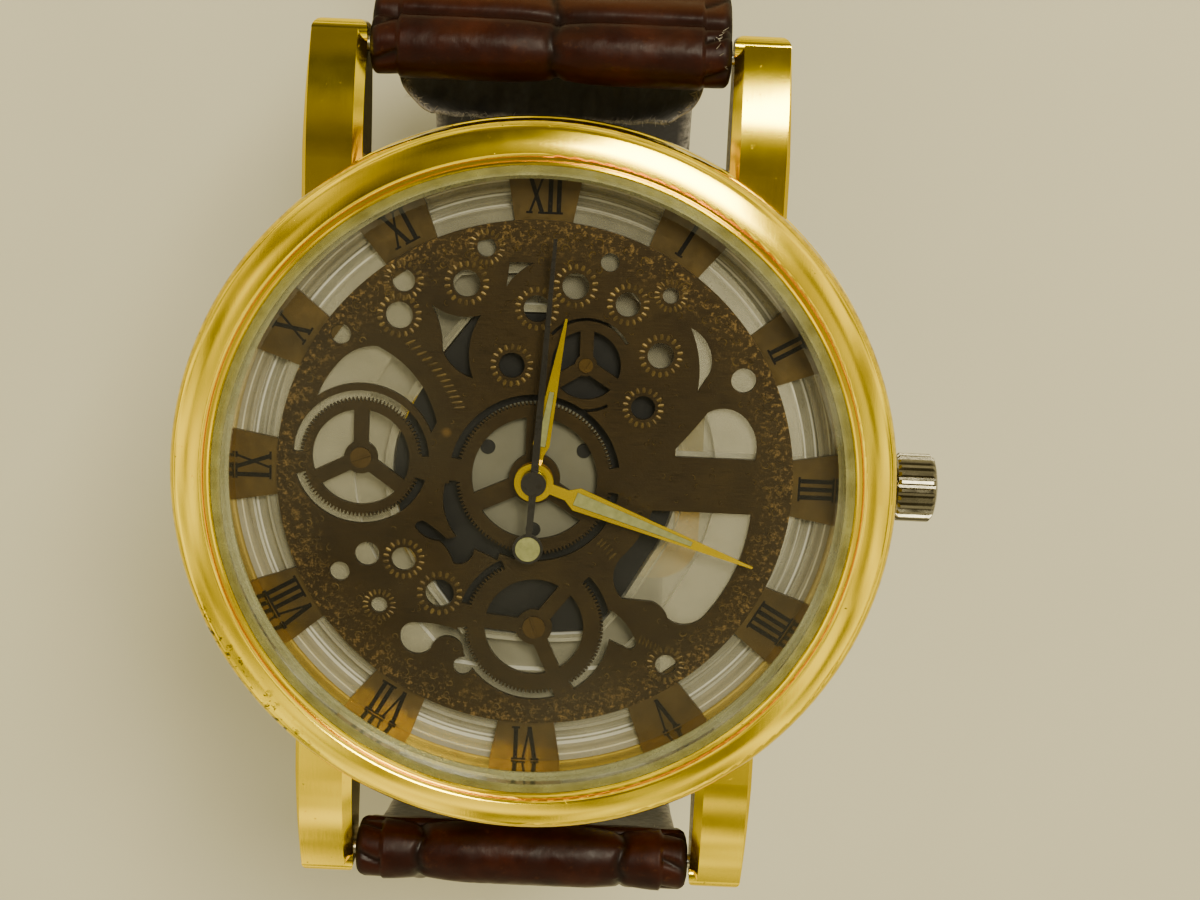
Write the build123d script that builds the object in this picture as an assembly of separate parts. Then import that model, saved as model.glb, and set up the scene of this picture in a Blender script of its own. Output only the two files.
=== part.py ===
from build123d import *
import math
import os

os.makedirs("parts", exist_ok=True)

# Skeleton wristwatch with a quartz movement and a leather strap. Millimetres.
# The dial faces +Z with 12 o'clock at +Y and the crown at +X. The origin is on the hands'
# axis, in the plane of the case back's outer face. The strap hangs below the case.

# ---------------------------------------------------------------- driving dimensions
# Case
CASE_R = 20.3
CASE_BORE_R = 17.3
CASE_LOW_Z = 0.62
CASE_TOP_Z = 6.2
BEZEL_INNER_R = 17.86
BEZEL_TOP_Z = 8.3
BEZEL_LIP_Z = 8.22
BEZEL_GROOVE_Z = 7.9
BEZEL_BAND_R = (18.5, 19.72)
BEZEL_SHOULDER_Z = 7.98
CRYSTAL_R = 17.3
CRYSTAL_FLAT_R = 16.75
CRYSTAL_Z = (7.05, 8.45)

# Lugs and spring bars
LUG_GAP = 20.1
LUG_WIDTH = 3.25
LUG_INNER_BEVEL = 0.5
LUG_OUTER_BEVEL = 0.22
LUG_TIP_TAPER = 0.2
LUG_TIP_Y = 25.0
BAR_Y = 23.75
BAR_Z = 3.2
BAR_TUBE_R = 0.75
BAR_BORE_R = 0.46
PLUNGER_R = 0.40

# Dial
PLATE_R = 14.62
PLATE_Z = (5.1, 5.4)
TAB_Z = (4.8, 5.1)
TAB_OUTER_R = 17.2
TAB_HALF_ANGLE = (6.2, 6.9)
REHAUT_R = (17.05, 17.28)

# Movement, a 6 3/4 by 8 ligne quartz calibre
MOVEMENT_Z = (1.75, 4.55)
MOVEMENT_R = 8.0
MOVEMENT_END_Y = 9.3
WEB_Z = (3.45, 3.72)
CROWN_Z = 3.4
BATTERY_R = 3.4
BATTERY_AT = (0.9, -5.6)
BATTERY_Z = (1.6, 3.2)

# Crown and stem
CROWN_R = 1.95
CROWN_X = (20.65, 23.0)
CROWN_FLUTES = 25
TUBE_R = 1.05
TUBE_BORE_R = 0.72
STEM_R = 0.45

# Hands, at about eighteen minutes past twelve, as clockwise angles from 12 o'clock
HOUR_ANGLE = 9.0
MINUTE_ANGLE = 109.4
SECOND_ANGLE = 3.0
HOUR_LENGTH = 9.4
MINUTE_LENGTH = 13.3
SECOND_LENGTH = 13.8

# Concentric arbors at the centre
SECOND_ARBOR_R = 0.14
CANNON_R = (0.20, 0.36)
HOUR_PIPE_R = (0.42, 0.60)

# Strap
STRAP_LUG_WIDTH = 19.8
STRAP_END_WIDTH = 18.0
ROLL_R = 1.85
LINING = 1.0
LAYER_GAP = 0.02
STRAP_HINGE = BAR_TUBE_R + 0.09
BUCKLE_BAR_R = 0.5
BUCKLE_LENGTH = 11.5
BUCKLE_GAP = 18.6
BUCKLE_WIDTH = 22.2
HOLE_PITCH = 6.4
HOLE_COUNT = 7

RUNNING = 0.05


# ---------------------------------------------------------------- helpers
def polar(radius, degrees, centre=(0, 0)):
    """Point at a radius and an angle about a centre in the dial plane."""
    angle = math.radians(degrees)
    return (centre[0] + radius * math.cos(angle), centre[1] + radius * math.sin(angle))


def prism(face, z_low, z_high):
    """Solid between two heights, from an outline drawn at z = 0."""
    return extrude(Pos(0, 0, z_low) * face, z_high - z_low, dir=(0, 0, 1))


def disc(radius, z_low, z_high, centre=(0, 0)):
    """Upright cylinder between two heights."""
    return Pos(centre[0], centre[1], (z_low + z_high) / 2) * Cylinder(radius, z_high - z_low)


def ring(inner, outer, z_low, z_high, centre=(0, 0)):
    """Upright tube between two heights."""
    middle = (z_low + z_high) / 2
    tube = Cylinder(outer, z_high - z_low) - Cylinder(inner, z_high - z_low + 1)
    return Pos(centre[0], centre[1], middle) * tube


def block(x_range, y_range, z_range):
    """Box between two corners."""
    ranges = (x_range, y_range, z_range)
    middle = [(low + high) / 2 for low, high in ranges]
    return Pos(*middle) * Box(*[high - low for low, high in ranges])


def outline(start, *moves):
    """Closed face. A move is a point for a straight edge, or (through, end) for an arc."""
    edges = []
    here = start
    for move in moves:
        if isinstance(move[0], tuple):
            edges.append(ThreePointArc(here, move[0], move[1]))
            here = move[1]
        else:
            edges.append(Line(here, move))
            here = move
    if here != start:
        edges.append(Line(here, start))
    return Face(Wire(edges))


def turned(start, *moves):
    """Solid of revolution about Z from a profile of (radius, height) points."""
    return revolve(Plane.XZ * outline(start, *moves), Axis.Z)


def along_x(x, z, shape):
    """Shape built up the Z axis, laid along +X from a point on the crown's side."""
    return Pos(x, 0, z) * Rot(0, 90, 0) * shape


def gear_face(teeth, module, phase, centre=(0, 0)):
    """Spur gear outline with straight flanks. Phase is the angle of one tooth's middle."""
    pitch_r = teeth * module / 2
    root = pitch_r - 1.2 * module
    tip = pitch_r + 0.9 * module
    corners = ((root, -0.36), (tip, -0.13), (tip, 0.13), (root, 0.36))
    points = []
    for tooth in range(teeth):
        for radius, share in corners:
            points.append(polar(radius, phase + (tooth + share) * 360 / teeth, centre))
    return make_face(Polyline(*points, close=True))


def write(name, *shapes):
    """Write one node as a solid, or as a group of separate solids."""
    solids = [solid for shape in shapes for solid in shape.solids()]
    whole = solids[0] if len(solids) == 1 else Compound(solids)
    export_step(whole, f"parts/{name}.step")


# ---------------------------------------------------------------- case
def long_upper_edges(horn):
    """Long edges along the top of a lug, from the strap side outwards."""
    long_edges = [edge for edge in horn.edges() if edge.length > 5 and edge.center().Z > 4]
    return sorted(long_edges, key=lambda edge: edge.center().X)


def lug(side, end):
    """One lug, drawn from the side: a sloping horn with a rounded tip."""
    tip = LUG_TIP_Y
    side_face = outline(
        (15.2, 1.6), (15.2, 6.05), (17.6, 6.02),
        ((21.4, 5.55), (tip - 0.5, 4.35)),
        ((tip - 0.08, 4.05), (tip, 3.5)),
        ((tip - 0.25, 2.4), (tip - 1.2, 1.75)),
        ((20.5, 1.35), (15.2, 1.6)))
    horn = extrude(Plane.YZ * side_face, LUG_WIDTH, dir=(1, 0, 0))
    horn = chamfer(long_upper_edges(horn)[0], LUG_INNER_BEVEL)
    horn = chamfer(long_upper_edges(horn)[-1], LUG_OUTER_BEVEL)
    outer = LUG_WIDTH - LUG_TIP_TAPER
    plan = outline(
        (0, 15), (LUG_WIDTH, 15), (LUG_WIDTH, 18), (outer, tip - 0.6),
        ((outer - 0.15, tip - 0.16), (outer - 0.6, tip)),
        (0.5, tip), ((0.14, tip - 0.14), (0, tip - 0.5)))
    horn = horn & prism(plan, 0, 9)
    horn = Pos(LUG_GAP / 2, 0, 0) * horn
    hole = Pos(LUG_GAP / 2, BAR_Y, BAR_Z) * Rot(0, 90, 0) * Cylinder(PLUNGER_R + RUNNING, 2.2)
    horn = horn - hole
    if side < 0:
        horn = mirror(horn, Plane.YZ)
    if end < 0:
        horn = mirror(horn, Plane.XZ)
    return horn


def mid_case():
    """Round case band with four lugs, a crown hole and a gasket groove underneath."""
    band = turned(
        (CASE_BORE_R, CASE_LOW_Z), (18.9, CASE_LOW_Z),
        ((19.75, 1.6), (CASE_R - 0.1, 3.4)),
        ((CASE_R, 4.6), (CASE_R, 5.85)),
        (CASE_R - 0.3, 6.08), (CASE_R - 0.3, CASE_TOP_Z), (CASE_BORE_R, CASE_TOP_Z))
    for side in (-1, 1):
        for end in (-1, 1):
            band = band + lug(side, end)
    band = band - disc(CASE_BORE_R, 0, 9)
    band = band - ring(17.55, 18.25, CASE_LOW_Z - 1, 0.9)
    band = band - along_x(19, CROWN_Z, Cylinder(TUBE_R + 0.005, 6))
    return band


def bezel():
    """Polished ring: a gently sloping band, a narrow groove and a thin lip next to the crystal."""
    inner, outer = BEZEL_BAND_R
    return turned(
        (BEZEL_INNER_R, CASE_TOP_Z + 0.02), (BEZEL_INNER_R, BEZEL_LIP_Z - 0.1),
        (17.94, BEZEL_LIP_Z), (18.04, BEZEL_LIP_Z - 0.04),
        (18.12, BEZEL_GROOVE_Z), (18.26, BEZEL_GROOVE_Z),
        ((18.33, 8.19), (inner, BEZEL_TOP_Z)),
        ((19.13, 8.185), (outer, BEZEL_SHOULDER_Z)),
        ((CASE_R - 0.2, 7.7), (CASE_R - 0.06, 7.15)),
        (CASE_R - 0.04, 6.45), (CASE_R - 0.22, CASE_TOP_Z + 0.02))


def crystal():
    """Flat glass with a bevelled upper edge."""
    low, high = CRYSTAL_Z
    return turned((0, low), (CRYSTAL_R, low), (CRYSTAL_R, high - 0.28), (CRYSTAL_FLAT_R, high), (0, high))


def crystal_gasket():
    """Translucent L-section gasket between the crystal and the bezel."""
    outer = BEZEL_INNER_R - 0.02
    return turned(
        (CRYSTAL_R + 0.02, CASE_TOP_Z + 0.02), (outer, CASE_TOP_Z + 0.02), (outer, 8.1),
        (CRYSTAL_R + 0.02, 8.16), (CRYSTAL_R + 0.02, 7.03), (REHAUT_R[0], 7.03), (REHAUT_R[0], 6.88),
        (CRYSTAL_R + 0.02, 6.88))


def caseback_ring():
    """Snap-in back with a flange, a spigot and six tool notches."""
    back = turned(
        (15.6, 0.2), (15.8, 0), (18.4, 0), (18.7, 0.3), (18.7, 0.6), (CASE_BORE_R - 0.02, 0.6),
        (CASE_BORE_R - 0.02, 1.5), (16.32, 1.5), (16.32, 0.6), (15.6, 0.6))
    for notch in range(6):
        cutter = Pos(*polar(18.75, 30 + 60 * notch), 0.1) * Rot(0, 0, 30 + 60 * notch) * Box(1.2, 1.6, 0.5)
        back = back - cutter
    return back


# ---------------------------------------------------------------- dial
NINE = (-9.85, 0.8)
SIX = (0.27, -8.77)
SMALL = (2.65, 6.63)

# Round holes of the dial plate: x, y, radius
DIAL_HOLES = [
    (-3.1, 13.0, 0.53), (-4.15, 10.95, 0.76), (-7.65, 10.95, 0.63), (-7.85, 9.0, 0.76),
    (-11.1, 7.8, 0.57), (-1.5, 6.45, 0.72), (-0.2, 9.7, 0.75), (1.9, 11.05, 0.75),
    (3.75, 12.45, 0.52), (4.85, 10.15, 0.70), (7.2, 10.75, 0.46), (6.8, 7.35, 0.74),
    (11.5, 6.15, 0.70), (5.95, 4.35, 0.68), (-9.4, -4.85, 0.70), (-7.3, -5.05, 0.70),
    (-10.95, -5.95, 0.57), (-8.65, -7.85, 0.47), (-5.2, -7.0, 0.82), (7.95, -10.7, 0.60)]


def round_face(radius, centre=(0, 0)):
    """Disc outline."""
    return Pos(*centre) * Circle(radius)


def arc_slot(centre, inner, outer, start, end):
    """Part of a ring between two angles."""
    middle = (start + end) / 2
    return outline(
        polar(inner, start, centre), polar(outer, start, centre),
        (polar(outer, middle, centre), polar(outer, end, centre)),
        polar(inner, end, centre),
        (polar(inner, middle, centre), polar(inner, start, centre)))


def toothed_slot(centre, tip, outer, start, end, teeth, depth=0.2):
    """Part of a ring whose inner edge is cut into the gaps of fine teeth."""
    pitch = 360 / teeth
    count = round((end - start) / pitch)
    edge = []
    for gap in range(count):
        angle = end - gap * pitch
        edge.append(polar(tip, angle, centre))
        edge.append(polar(tip - depth, angle - 0.3 * pitch, centre))
        edge.append(polar(tip - depth, angle - 0.6 * pitch, centre))
        edge.append(polar(tip, angle - 0.75 * pitch, centre))
    middle = (start + end) / 2
    return outline(
        polar(tip, start, centre), polar(outer, start, centre),
        (polar(outer, middle, centre), polar(outer, end, centre)), *edge)


def wheel_windows(centre, hub, rim, spokes, width):
    """Openings between a hub and a rim, parted by radial spokes."""
    opening = round_face(rim, centre) - round_face(hub, centre)
    for angle in spokes:
        bar = Pos(*centre) * Rot(0, 0, angle) * Pos(rim / 2, 0) * Rectangle(rim + 1, width)
        opening = opening - bar
    return opening


def dial_windows():
    """The free-form openings of the dial plate."""
    windows = [
        outline((-1.8, 12.25), (-0.4, 12.25), ((-1.25, 11.7), (-1.95, 10.85))),
        outline((-6.1, 9.7), ((-4.95, 9.15), (-3.3, 9.2)), ((-3.9, 7.4), (-3.65, 5.6)),
                ((-4.7, 6.15), (-5.4, 7.1)), ((-5.55, 8.4), (-6.1, 9.7))),
        outline((8.4, 9.0), ((9.55, 7.75), (9.6, 6.5)), (8.95, 5.4), ((8.95, 7.2), (8.4, 9.0))),
        outline((7.9, 1.62), (12.4, 1.62), ((12.3, 3.1), (11.5, 4.2)), ((10.6, 4.5), (9.6, 4.25)),
                ((8.9, 3.3), (7.9, 2.1))),
        outline((6.75, -1.55), (12.35, -1.55), ((11.75, -4.6), (10.05, -7.65)),
                ((8.9, -8.25), (7.95, -7.95)), ((7.5, -7.25), (7.0, -6.95)), (5.25, -6.85),
                ((4.7, -5.6), (5.1, -4.4)), ((6.1, -3.1), (6.75, -1.55))),
        outline((-5.05, -0.5), (-4.68, -0.5), ((-4.25, -2.05), (-3.3, -3.35)),
                ((-2.6, -3.95), (-1.8, -4.35)), (-1.95, -4.9), ((-2.7, -4.55), (-3.3, -4.3)),
                ((-3.75, -5.1), (-4.45, -5.2)), ((-4.85, -4.4), (-5.3, -3.9)),
                ((-6.2, -3.65), (-6.7, -3.15)), ((-6.5, -2.8), (-6.1, -2.8)),
                ((-5.4, -3.3), (-4.85, -3.75)), (-4.35, -3.6), ((-5.1, -2.0), (-5.05, -0.5))),
        outline((-6.5, -8.8), ((-5.3, -8.85), (-3.95, -9.2)), (-3.75, -10.45),
                ((-4.45, -9.6), (-5.6, -10.3)), ((-6.95, -10.55), (-7.4, -9.7)),
                ((-7.2, -9.05), (-6.5, -8.8))),
        outline((4.55, -7.5), ((5.35, -8.1), (6.1, -9.2)), ((6.1, -9.75), (5.6, -9.8)), (4.6, -9.35))]
    shield = outline((-9.0, 7.2), ((-6.9, 5.6), (-5.6, 3.0)), (-6.4, 1.4), (-12.6, 3.4),
                     ((-11.9, 5.2), (-10.9, 6.5)), ((-10.0, 7.05), (-9.0, 7.2)))
    windows.append(shield - round_face(4.25, NINE))
    windows.append(round_face(0.55, (-3.75, -11.3)))
    return windows


def skeleton_plate():
    """Dial plate: one stamped sheet pierced to look like a geared skeleton movement."""
    face = round_face(PLATE_R) - round_face(0.75)
    for x, y, radius in DIAL_HOLES:
        face = face - round_face(radius, (x, y))
    for window in dial_windows():
        face = face - window
    for start, end in ((3, 177), (197, 342)):
        face = face - toothed_slot(NINE, 3.45, 3.85, start, end, 96)
    for start, end in ((10, 168), (184, 352)):
        face = face - toothed_slot((0, 0), 4.45, 4.85, start, end, 120)
    for start, end in ((117, 163), (183, 288), (304, 406)):
        face = face - toothed_slot(SIX, 4.0, 4.4, start, end, 108)
    face = face - wheel_windows(NINE, 0.95, 2.75, (90, 207, 325), 0.85)
    face = face - wheel_windows((0, 0), 1.45, 3.55, (90, 205, 328), 1.1)
    face = face - wheel_windows(SIX, 1.05, 2.85, (53, 175, 295), 0.85)
    face = face - wheel_windows(SMALL, 0.62, 1.95, (90, 212, 328), 0.75)
    for start, end in ((30, 140), (235, 300)):
        face = face - arc_slot(SMALL, 2.5, 2.68, start, end)
    return prism(face, *PLATE_Z)


# Two pins under the ring key it to the holder
DIAL_FEET = (polar(14.1, 75), polar(14.1, 255))


def chapter_ring():
    """Ring under the plate's edge with twelve flared tabs for the numerals, and two feet."""
    inner_half, outer_half = TAB_HALF_ANGLE
    face = round_face(14.5) - round_face(13.75)
    for hour in range(12):
        middle = 90 - 30 * hour
        face = face + outline(
            polar(14.2, middle - inner_half), polar(14.2, middle + inner_half),
            polar(TAB_OUTER_R, middle + outer_half),
            (polar(TAB_OUTER_R, middle), polar(TAB_OUTER_R, middle - outer_half)))
    dial_ring = prism(face, *TAB_Z)
    for centre in DIAL_FEET:
        dial_ring = dial_ring + disc(0.38, 3.5, TAB_Z[0] + 0.1, centre)
    return dial_ring


# A numeral is a row of strokes: sideways shift at the foot, sideways shift at the head, width
NUMERAL_R = (14.95, 17.0)
THICK = 0.25
THIN = 0.13
SERIF = 0.22
LETTERS = {
    "I": (0.47, ((0, 0, THICK),)),
    "V": (1.1, ((0, -0.36, THICK), (0, 0.36, THIN))),
    "X": (1.1, ((0.36, -0.36, THICK), (-0.36, 0.36, THIN))),
}
NUMERALS = ("XII", "I", "II", "III", "IIII", "V", "VI", "VII", "VIII", "IX", "X", "XI")


def letter_face(letter):
    """One upright Roman letter with serifs, from its foot at y = 0."""
    height = NUMERAL_R[1] - NUMERAL_R[0]
    face = None
    for foot, head, width in LETTERS[letter][1]:
        half = width / 2
        bar = make_face(Polyline((foot - half, 0), (foot + half, 0), (head + half, height),
                                 (head - half, height), close=True))
        pieces = [bar, Pos(head, height - 0.06) * Rectangle(width + SERIF, 0.12)]
        if letter != "V":
            pieces.append(Pos(foot, 0.06) * Rectangle(width + SERIF, 0.12))
        for piece in pieces:
            face = piece if face is None else face + piece
    return face


def roman_numerals():
    """Printed numerals standing radially on the tabs, feet towards the centre."""
    solids = []
    for hour, text in enumerate(NUMERALS):
        total = sum(LETTERS[letter][0] for letter in text)
        squeeze = min(1.0, 2.75 / total)
        across = -total * squeeze / 2
        for letter in text:
            advance = LETTERS[letter][0] * squeeze
            ink = prism(letter_face(letter), TAB_Z[1], TAB_Z[1] + 0.03)
            ink = Pos(across + advance / 2, NUMERAL_R[0], 0) * ink
            solids.append(Rot(0, 0, -30 * hour) * ink)
            across += advance
    return solids


def slotted_screw(centre, radius, turn):
    """Low screw head with a slot, standing on the dial plate."""
    head = disc(radius, PLATE_Z[1], PLATE_Z[1] + 0.16, centre)
    slot = Pos(centre[0], centre[1], PLATE_Z[1] + 0.13) * Rot(0, 0, turn) * Box(3, 0.18, 0.12)
    return head - slot


# ---------------------------------------------------------------- hands
def blade(length, neck, shoulder_r, shoulder, root=0.0):
    """Lance-shaped hand pointing at 12, widest at its shoulder."""
    return make_face(Polyline(
        (-neck / 2, root), (neck / 2, root), (neck / 2, shoulder_r - 0.6), (shoulder / 2, shoulder_r),
        (0.06, length), (-0.06, length), (-shoulder / 2, shoulder_r), (-neck / 2, shoulder_r - 0.6),
        close=True))


def inlay(start, end, start_width, end_width):
    """Long tapering strip of luminous paint along a hand."""
    return make_face(Polyline((-start_width / 2, start), (start_width / 2, start),
                              (end_width / 2, end), (-end_width / 2, end), close=True))


def main_hand(angle, length, neck, shoulder_r, shoulder, lume, z_low, bore):
    """Hand with a round hub and a slot for its luminous strip, and that strip."""
    start, end, start_width, end_width = lume
    slot = inlay(start, end, start_width, end_width)
    strip = inlay(start + 0.02, end - 0.02, start_width - 0.04, max(end_width - 0.04, 0.04))
    arm = prism(blade(length, neck, shoulder_r, shoulder) - slot, z_low, z_low + 0.15)
    hub = disc(1.1, z_low - 0.04, z_low + 0.26)
    hand = arm + hub - disc(bore, z_low - 1, z_low + 1)
    turn = Rot(0, 0, -angle)
    return turn * hand, turn * prism(strip, z_low, z_low + 0.13)


def second_hand():
    """Needle with a counterweight disc on its tail."""
    low = 6.62
    face = make_face(Polyline((-0.22, 0), (0.22, 0), (0.1, SECOND_LENGTH), (-0.1, SECOND_LENGTH), close=True))
    face = face + make_face(Polyline((-0.22, 0), (0.22, 0), (0.17, -3.2), (-0.17, -3.2), close=True))
    face = face + round_face(0.86, (0, -3.8))
    needle = prism(face, low, low + 0.12) + disc(0.72, low, low + 0.24)
    needle = needle - disc(SECOND_ARBOR_R + 0.005, low - 1, low + 0.19)
    dot = disc(0.7, low + 0.12, low + 0.17, (0, -3.8))
    turn = Rot(0, 0, -SECOND_ANGLE)
    return turn * needle, turn * dot


# ---------------------------------------------------------------- movement
CENTRE = (0, 0)
FINE = 0.07
THIRD_MODULE = 0.075
THIRD_DISTANCE = THIRD_MODULE * (8 + 60) / 2
CENTRE_MODULE = 2 * THIRD_DISTANCE / (8 + 64)
INTERMEDIATE_AT = polar(FINE * (15 + 60) / 2, 135)
ROTOR_AT = polar(FINE * (6 + 45) / 2, 115, INTERMEDIATE_AT)
THIRD_AT = polar(THIRD_DISTANCE, 45)
MINUTE_DISTANCE = 0.1 * (12 + 36) / 2
HOUR_MODULE = 2 * MINUTE_DISTANCE / (10 + 40)
MINUTE_WHEEL_AT = polar(MINUTE_DISTANCE, -30)
LEVER_PIVOT = (7.05, -2.2)
PEG_X = 6.6
COIL_X = -0.98
COIL_Y = 6.75
COIL_Z = 2.65
BRIDGE_Z = (1.65, 1.9)
PEG_ANGLES = (30, 150, 270)


def facing(here, there):
    """Angle of the line from one gear centre to another, in degrees."""
    return math.degrees(math.atan2(there[1] - here[1], there[0] - here[0]))


def meshed(here, there, teeth_here, teeth_there, module, z_here, z_there):
    """Two gears in mesh: a tooth of the first points into a gap of the second."""
    angle = facing(here, there)
    first = prism(gear_face(teeth_here, module, angle, here), *z_here)
    gap = angle + 180 + 180 / teeth_there
    second = prism(gear_face(teeth_there, module, gap, there), *z_there)
    return first, second


def movement_outline(grow=0.0):
    """Plan of the movement: round sides, slanted corners and gently round ends."""
    side = MOVEMENT_R + grow
    end = MOVEMENT_END_Y + grow
    lean = grow * 0.35
    half = [(6.75 + grow, 4.3 + lean), (5.3 + grow, 6.85 + lean), (3.7 + lean, 9.0 + grow)]
    right_top, right_mid, right_end = half
    return outline(
        (right_top[0], -right_top[1]), ((side, 0), right_top), right_mid, right_end,
        ((0, end), (-right_end[0], right_end[1])), (-right_mid[0], right_mid[1]),
        (-right_top[0], right_top[1]), ((-side, 0), (-right_top[0], -right_top[1])),
        (-right_mid[0], -right_mid[1]), (-right_end[0], -right_end[1]),
        ((0, -end), (right_end[0], -right_end[1])), (right_mid[0], -right_mid[1]))


def main_plate():
    """Moulded black plate with pockets for the train, coil, battery, circuit and stem."""
    plate = prism(movement_outline(), *MOVEMENT_Z)
    floor = WEB_Z[0]
    train = outline((-4.5, -1.9), ((-3.9, -2.5), (-3.0, -2.6)), (3.0, -2.6), (4.5, -1.9),
                    (4.5, 6.2), (4.0, 7.65), (-4.0, 7.65), (-4.5, 6.2))
    plate = plate - prism(train, 0, floor)
    plate = plate - disc(BATTERY_R + 0.1, 0, BATTERY_Z[1] + 0.05, BATTERY_AT)
    circuit = outline((-7.1, -2.6), (-7.1, 2.6), (-6.2, 3.8), (-4.9, 3.8), (-4.9, -2.2),
                      (-3.6, -3.4), (-3.9, -5.2), (-5.9, -5.0))
    plate = plate - prism(circuit, 0, 3.3)
    plate = plate - block((4.3, 9), (-0.9, 0.9), (0, 4.2))
    plate = plate - block((5.6, 7.95), (-2.95, -0.5), (0, 2.35))
    recess = round_face(2.2) + round_face(2.1, MINUTE_WHEEL_AT)
    plate = plate - prism(recess, WEB_Z[1], 6)
    plate = plate - disc(CANNON_R[1] + 0.06, 0, 6)
    for centre in (INTERMEDIATE_AT, ROTOR_AT, THIRD_AT):
        plate = plate - disc(0.16, floor - 1, floor + 0.2, centre)
    plate = plate + disc(0.2, WEB_Z[1] - 0.1, 4.36, MINUTE_WHEEL_AT)
    plate = plate + disc(0.2, 1.8, 2.45, LEVER_PIVOT)
    for angle in PEG_ANGLES:
        plate = plate + disc(0.4, MOVEMENT_Z[1] - 0.2, 4.78, polar(3.15, angle))
    for x, y in BRIDGE_SCREWS:
        post = disc(0.62, BRIDGE_Z[1] + 0.02, floor + 0.1, (x, y))
        plate = plate + post - disc(0.31, 0, floor - 0.2, (x, y))
    return plate


BRIDGE_SCREWS = ((-3.75, -1.35), (3.75, -1.0), (3.4, 5.2))


def train_bridge():
    """Steel bridge over the gear train, on the case-back side."""
    face = outline((-4.35, -1.9), (-2.9, -2.2), ((0, -1.95), (2.9, -1.75)), (4.35, -1.6),
                   (4.35, 5.2), ((4.0, 5.7), (3.5, 5.85)), (-0.6, 5.75), (-3.9, 5.3), (-4.35, 4.2))
    bridge = prism(face, *BRIDGE_Z)
    bridge = bridge - disc(BATTERY_R + 0.15, 0, 4, BATTERY_AT)
    for centre in (CENTRE, INTERMEDIATE_AT, ROTOR_AT, THIRD_AT):
        bridge = bridge - disc(0.16, 0, 4, centre)
    for centre in BRIDGE_SCREWS:
        bridge = bridge - disc(0.34, 0, 4, centre)
    return bridge


def movement_screws():
    """Slotted screws that hold the bridge, with their shanks in the plate's posts."""
    screws = []
    for turn, (x, y) in enumerate(BRIDGE_SCREWS):
        head = disc(0.55, BRIDGE_Z[0] - 0.13, BRIDGE_Z[0], (x, y))
        shank = disc(0.29, BRIDGE_Z[0], 3.0, (x, y))
        slot = Pos(x, y, BRIDGE_Z[0] - 0.13) * Rot(0, 0, 35 + 50 * turn) * Box(2, 0.14, 0.12)
        screws.append(head + shank - slot)
    return screws


def rotor_and_train():
    """Wheels of the train, from the rotor to the centre wheel, each meshed with the next."""
    rotor_pinion, intermediate_wheel = meshed(
        ROTOR_AT, INTERMEDIATE_AT, 6, 45, FINE, (2.42, 2.7), (2.5, 2.62))
    intermediate_pinion, seconds_wheel = meshed(
        INTERMEDIATE_AT, CENTRE, 15, 60, FINE, (2.05, 2.5), (2.1, 2.25))
    seconds_pinion, third_wheel = meshed(CENTRE, THIRD_AT, 8, 60, THIRD_MODULE, (2.74, 3.02), (2.8, 2.95))
    third_pinion, centre_wheel = meshed(THIRD_AT, CENTRE, 8, 64, CENTRE_MODULE, (3.18, 3.42), (3.25, 3.4))
    rotor = rotor_pinion + disc(0.11, 1.68, 3.6, ROTOR_AT)
    magnet = ring(0.12, 0.9, 2.76, 3.1, ROTOR_AT)
    intermediate = intermediate_wheel + intermediate_pinion + disc(0.12, 1.68, 3.6, INTERMEDIATE_AT)
    third = third_wheel + third_pinion + disc(0.12, 1.68, 3.6, THIRD_AT)
    seconds = seconds_wheel + seconds_pinion + disc(SECOND_ARBOR_R, 1.68, 6.8)
    centre = centre_wheel + disc(CANNON_R[1], 3.12, 6.4) - disc(CANNON_R[0], 0, 9)
    return rotor, magnet, intermediate, third, seconds, centre


def motion_work():
    """Cannon pinion, minute wheel and hour wheel under the dial."""
    cannon, minute_wheel = meshed(CENTRE, MINUTE_WHEEL_AT, 12, 36, 0.1, (3.78, 3.95), (3.8, 3.92))
    cannon = cannon - disc(CANNON_R[1] + 0.005, 0, 9)
    minute_pinion, hour_wheel = meshed(
        MINUTE_WHEEL_AT, CENTRE, 10, 40, HOUR_MODULE, (3.92, 4.3), (4.15, 4.27))
    minute_wheel = minute_wheel + minute_pinion - disc(0.25, 0, 9, MINUTE_WHEEL_AT)
    hour_wheel = hour_wheel + disc(HOUR_PIPE_R[1], 4.15, 6.05) - disc(HOUR_PIPE_R[0], 0, 9)
    return cannon, minute_wheel, hour_wheel


def stator():
    """Soft-iron plate that carries the coil's flux around the rotor."""
    face = outline((-4.3, 2.25), (-1.0, 2.25), (-1.0, 4.4), (1.75, 4.4), (1.75, 7.2), (0.95, 7.2),
                   (0.95, 5.4), (-2.9, 5.4), (-2.9, 7.2), (-3.7, 7.2), (-4.2, 6.4), (-4.3, 5.0))
    return prism(face - round_face(1.0, ROTOR_AT), 2.8, 3.05)


def coil_core():
    """Flat iron core through the coil, its ends lying against the stator."""
    return block((-3.7, 1.75), (COIL_Y - 0.42, COIL_Y + 0.42), (2.5, 2.79))


def coil():
    """Copper winding between two bobbin cheeks."""
    winding = Pos(COIL_X, COIL_Y, COIL_Z) * Rot(0, 90, 0) * Cylinder(0.72, 3.4)
    for side in (-1, 1):
        cheek = Pos(COIL_X + side * 1.7, COIL_Y, COIL_Z) * Rot(0, 90, 0) * Cylinder(0.8, 0.25)
        winding = winding + cheek
    return winding - block((-4, 4), (COIL_Y - 0.44, COIL_Y + 0.44), (2.48, 2.81))


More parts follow.
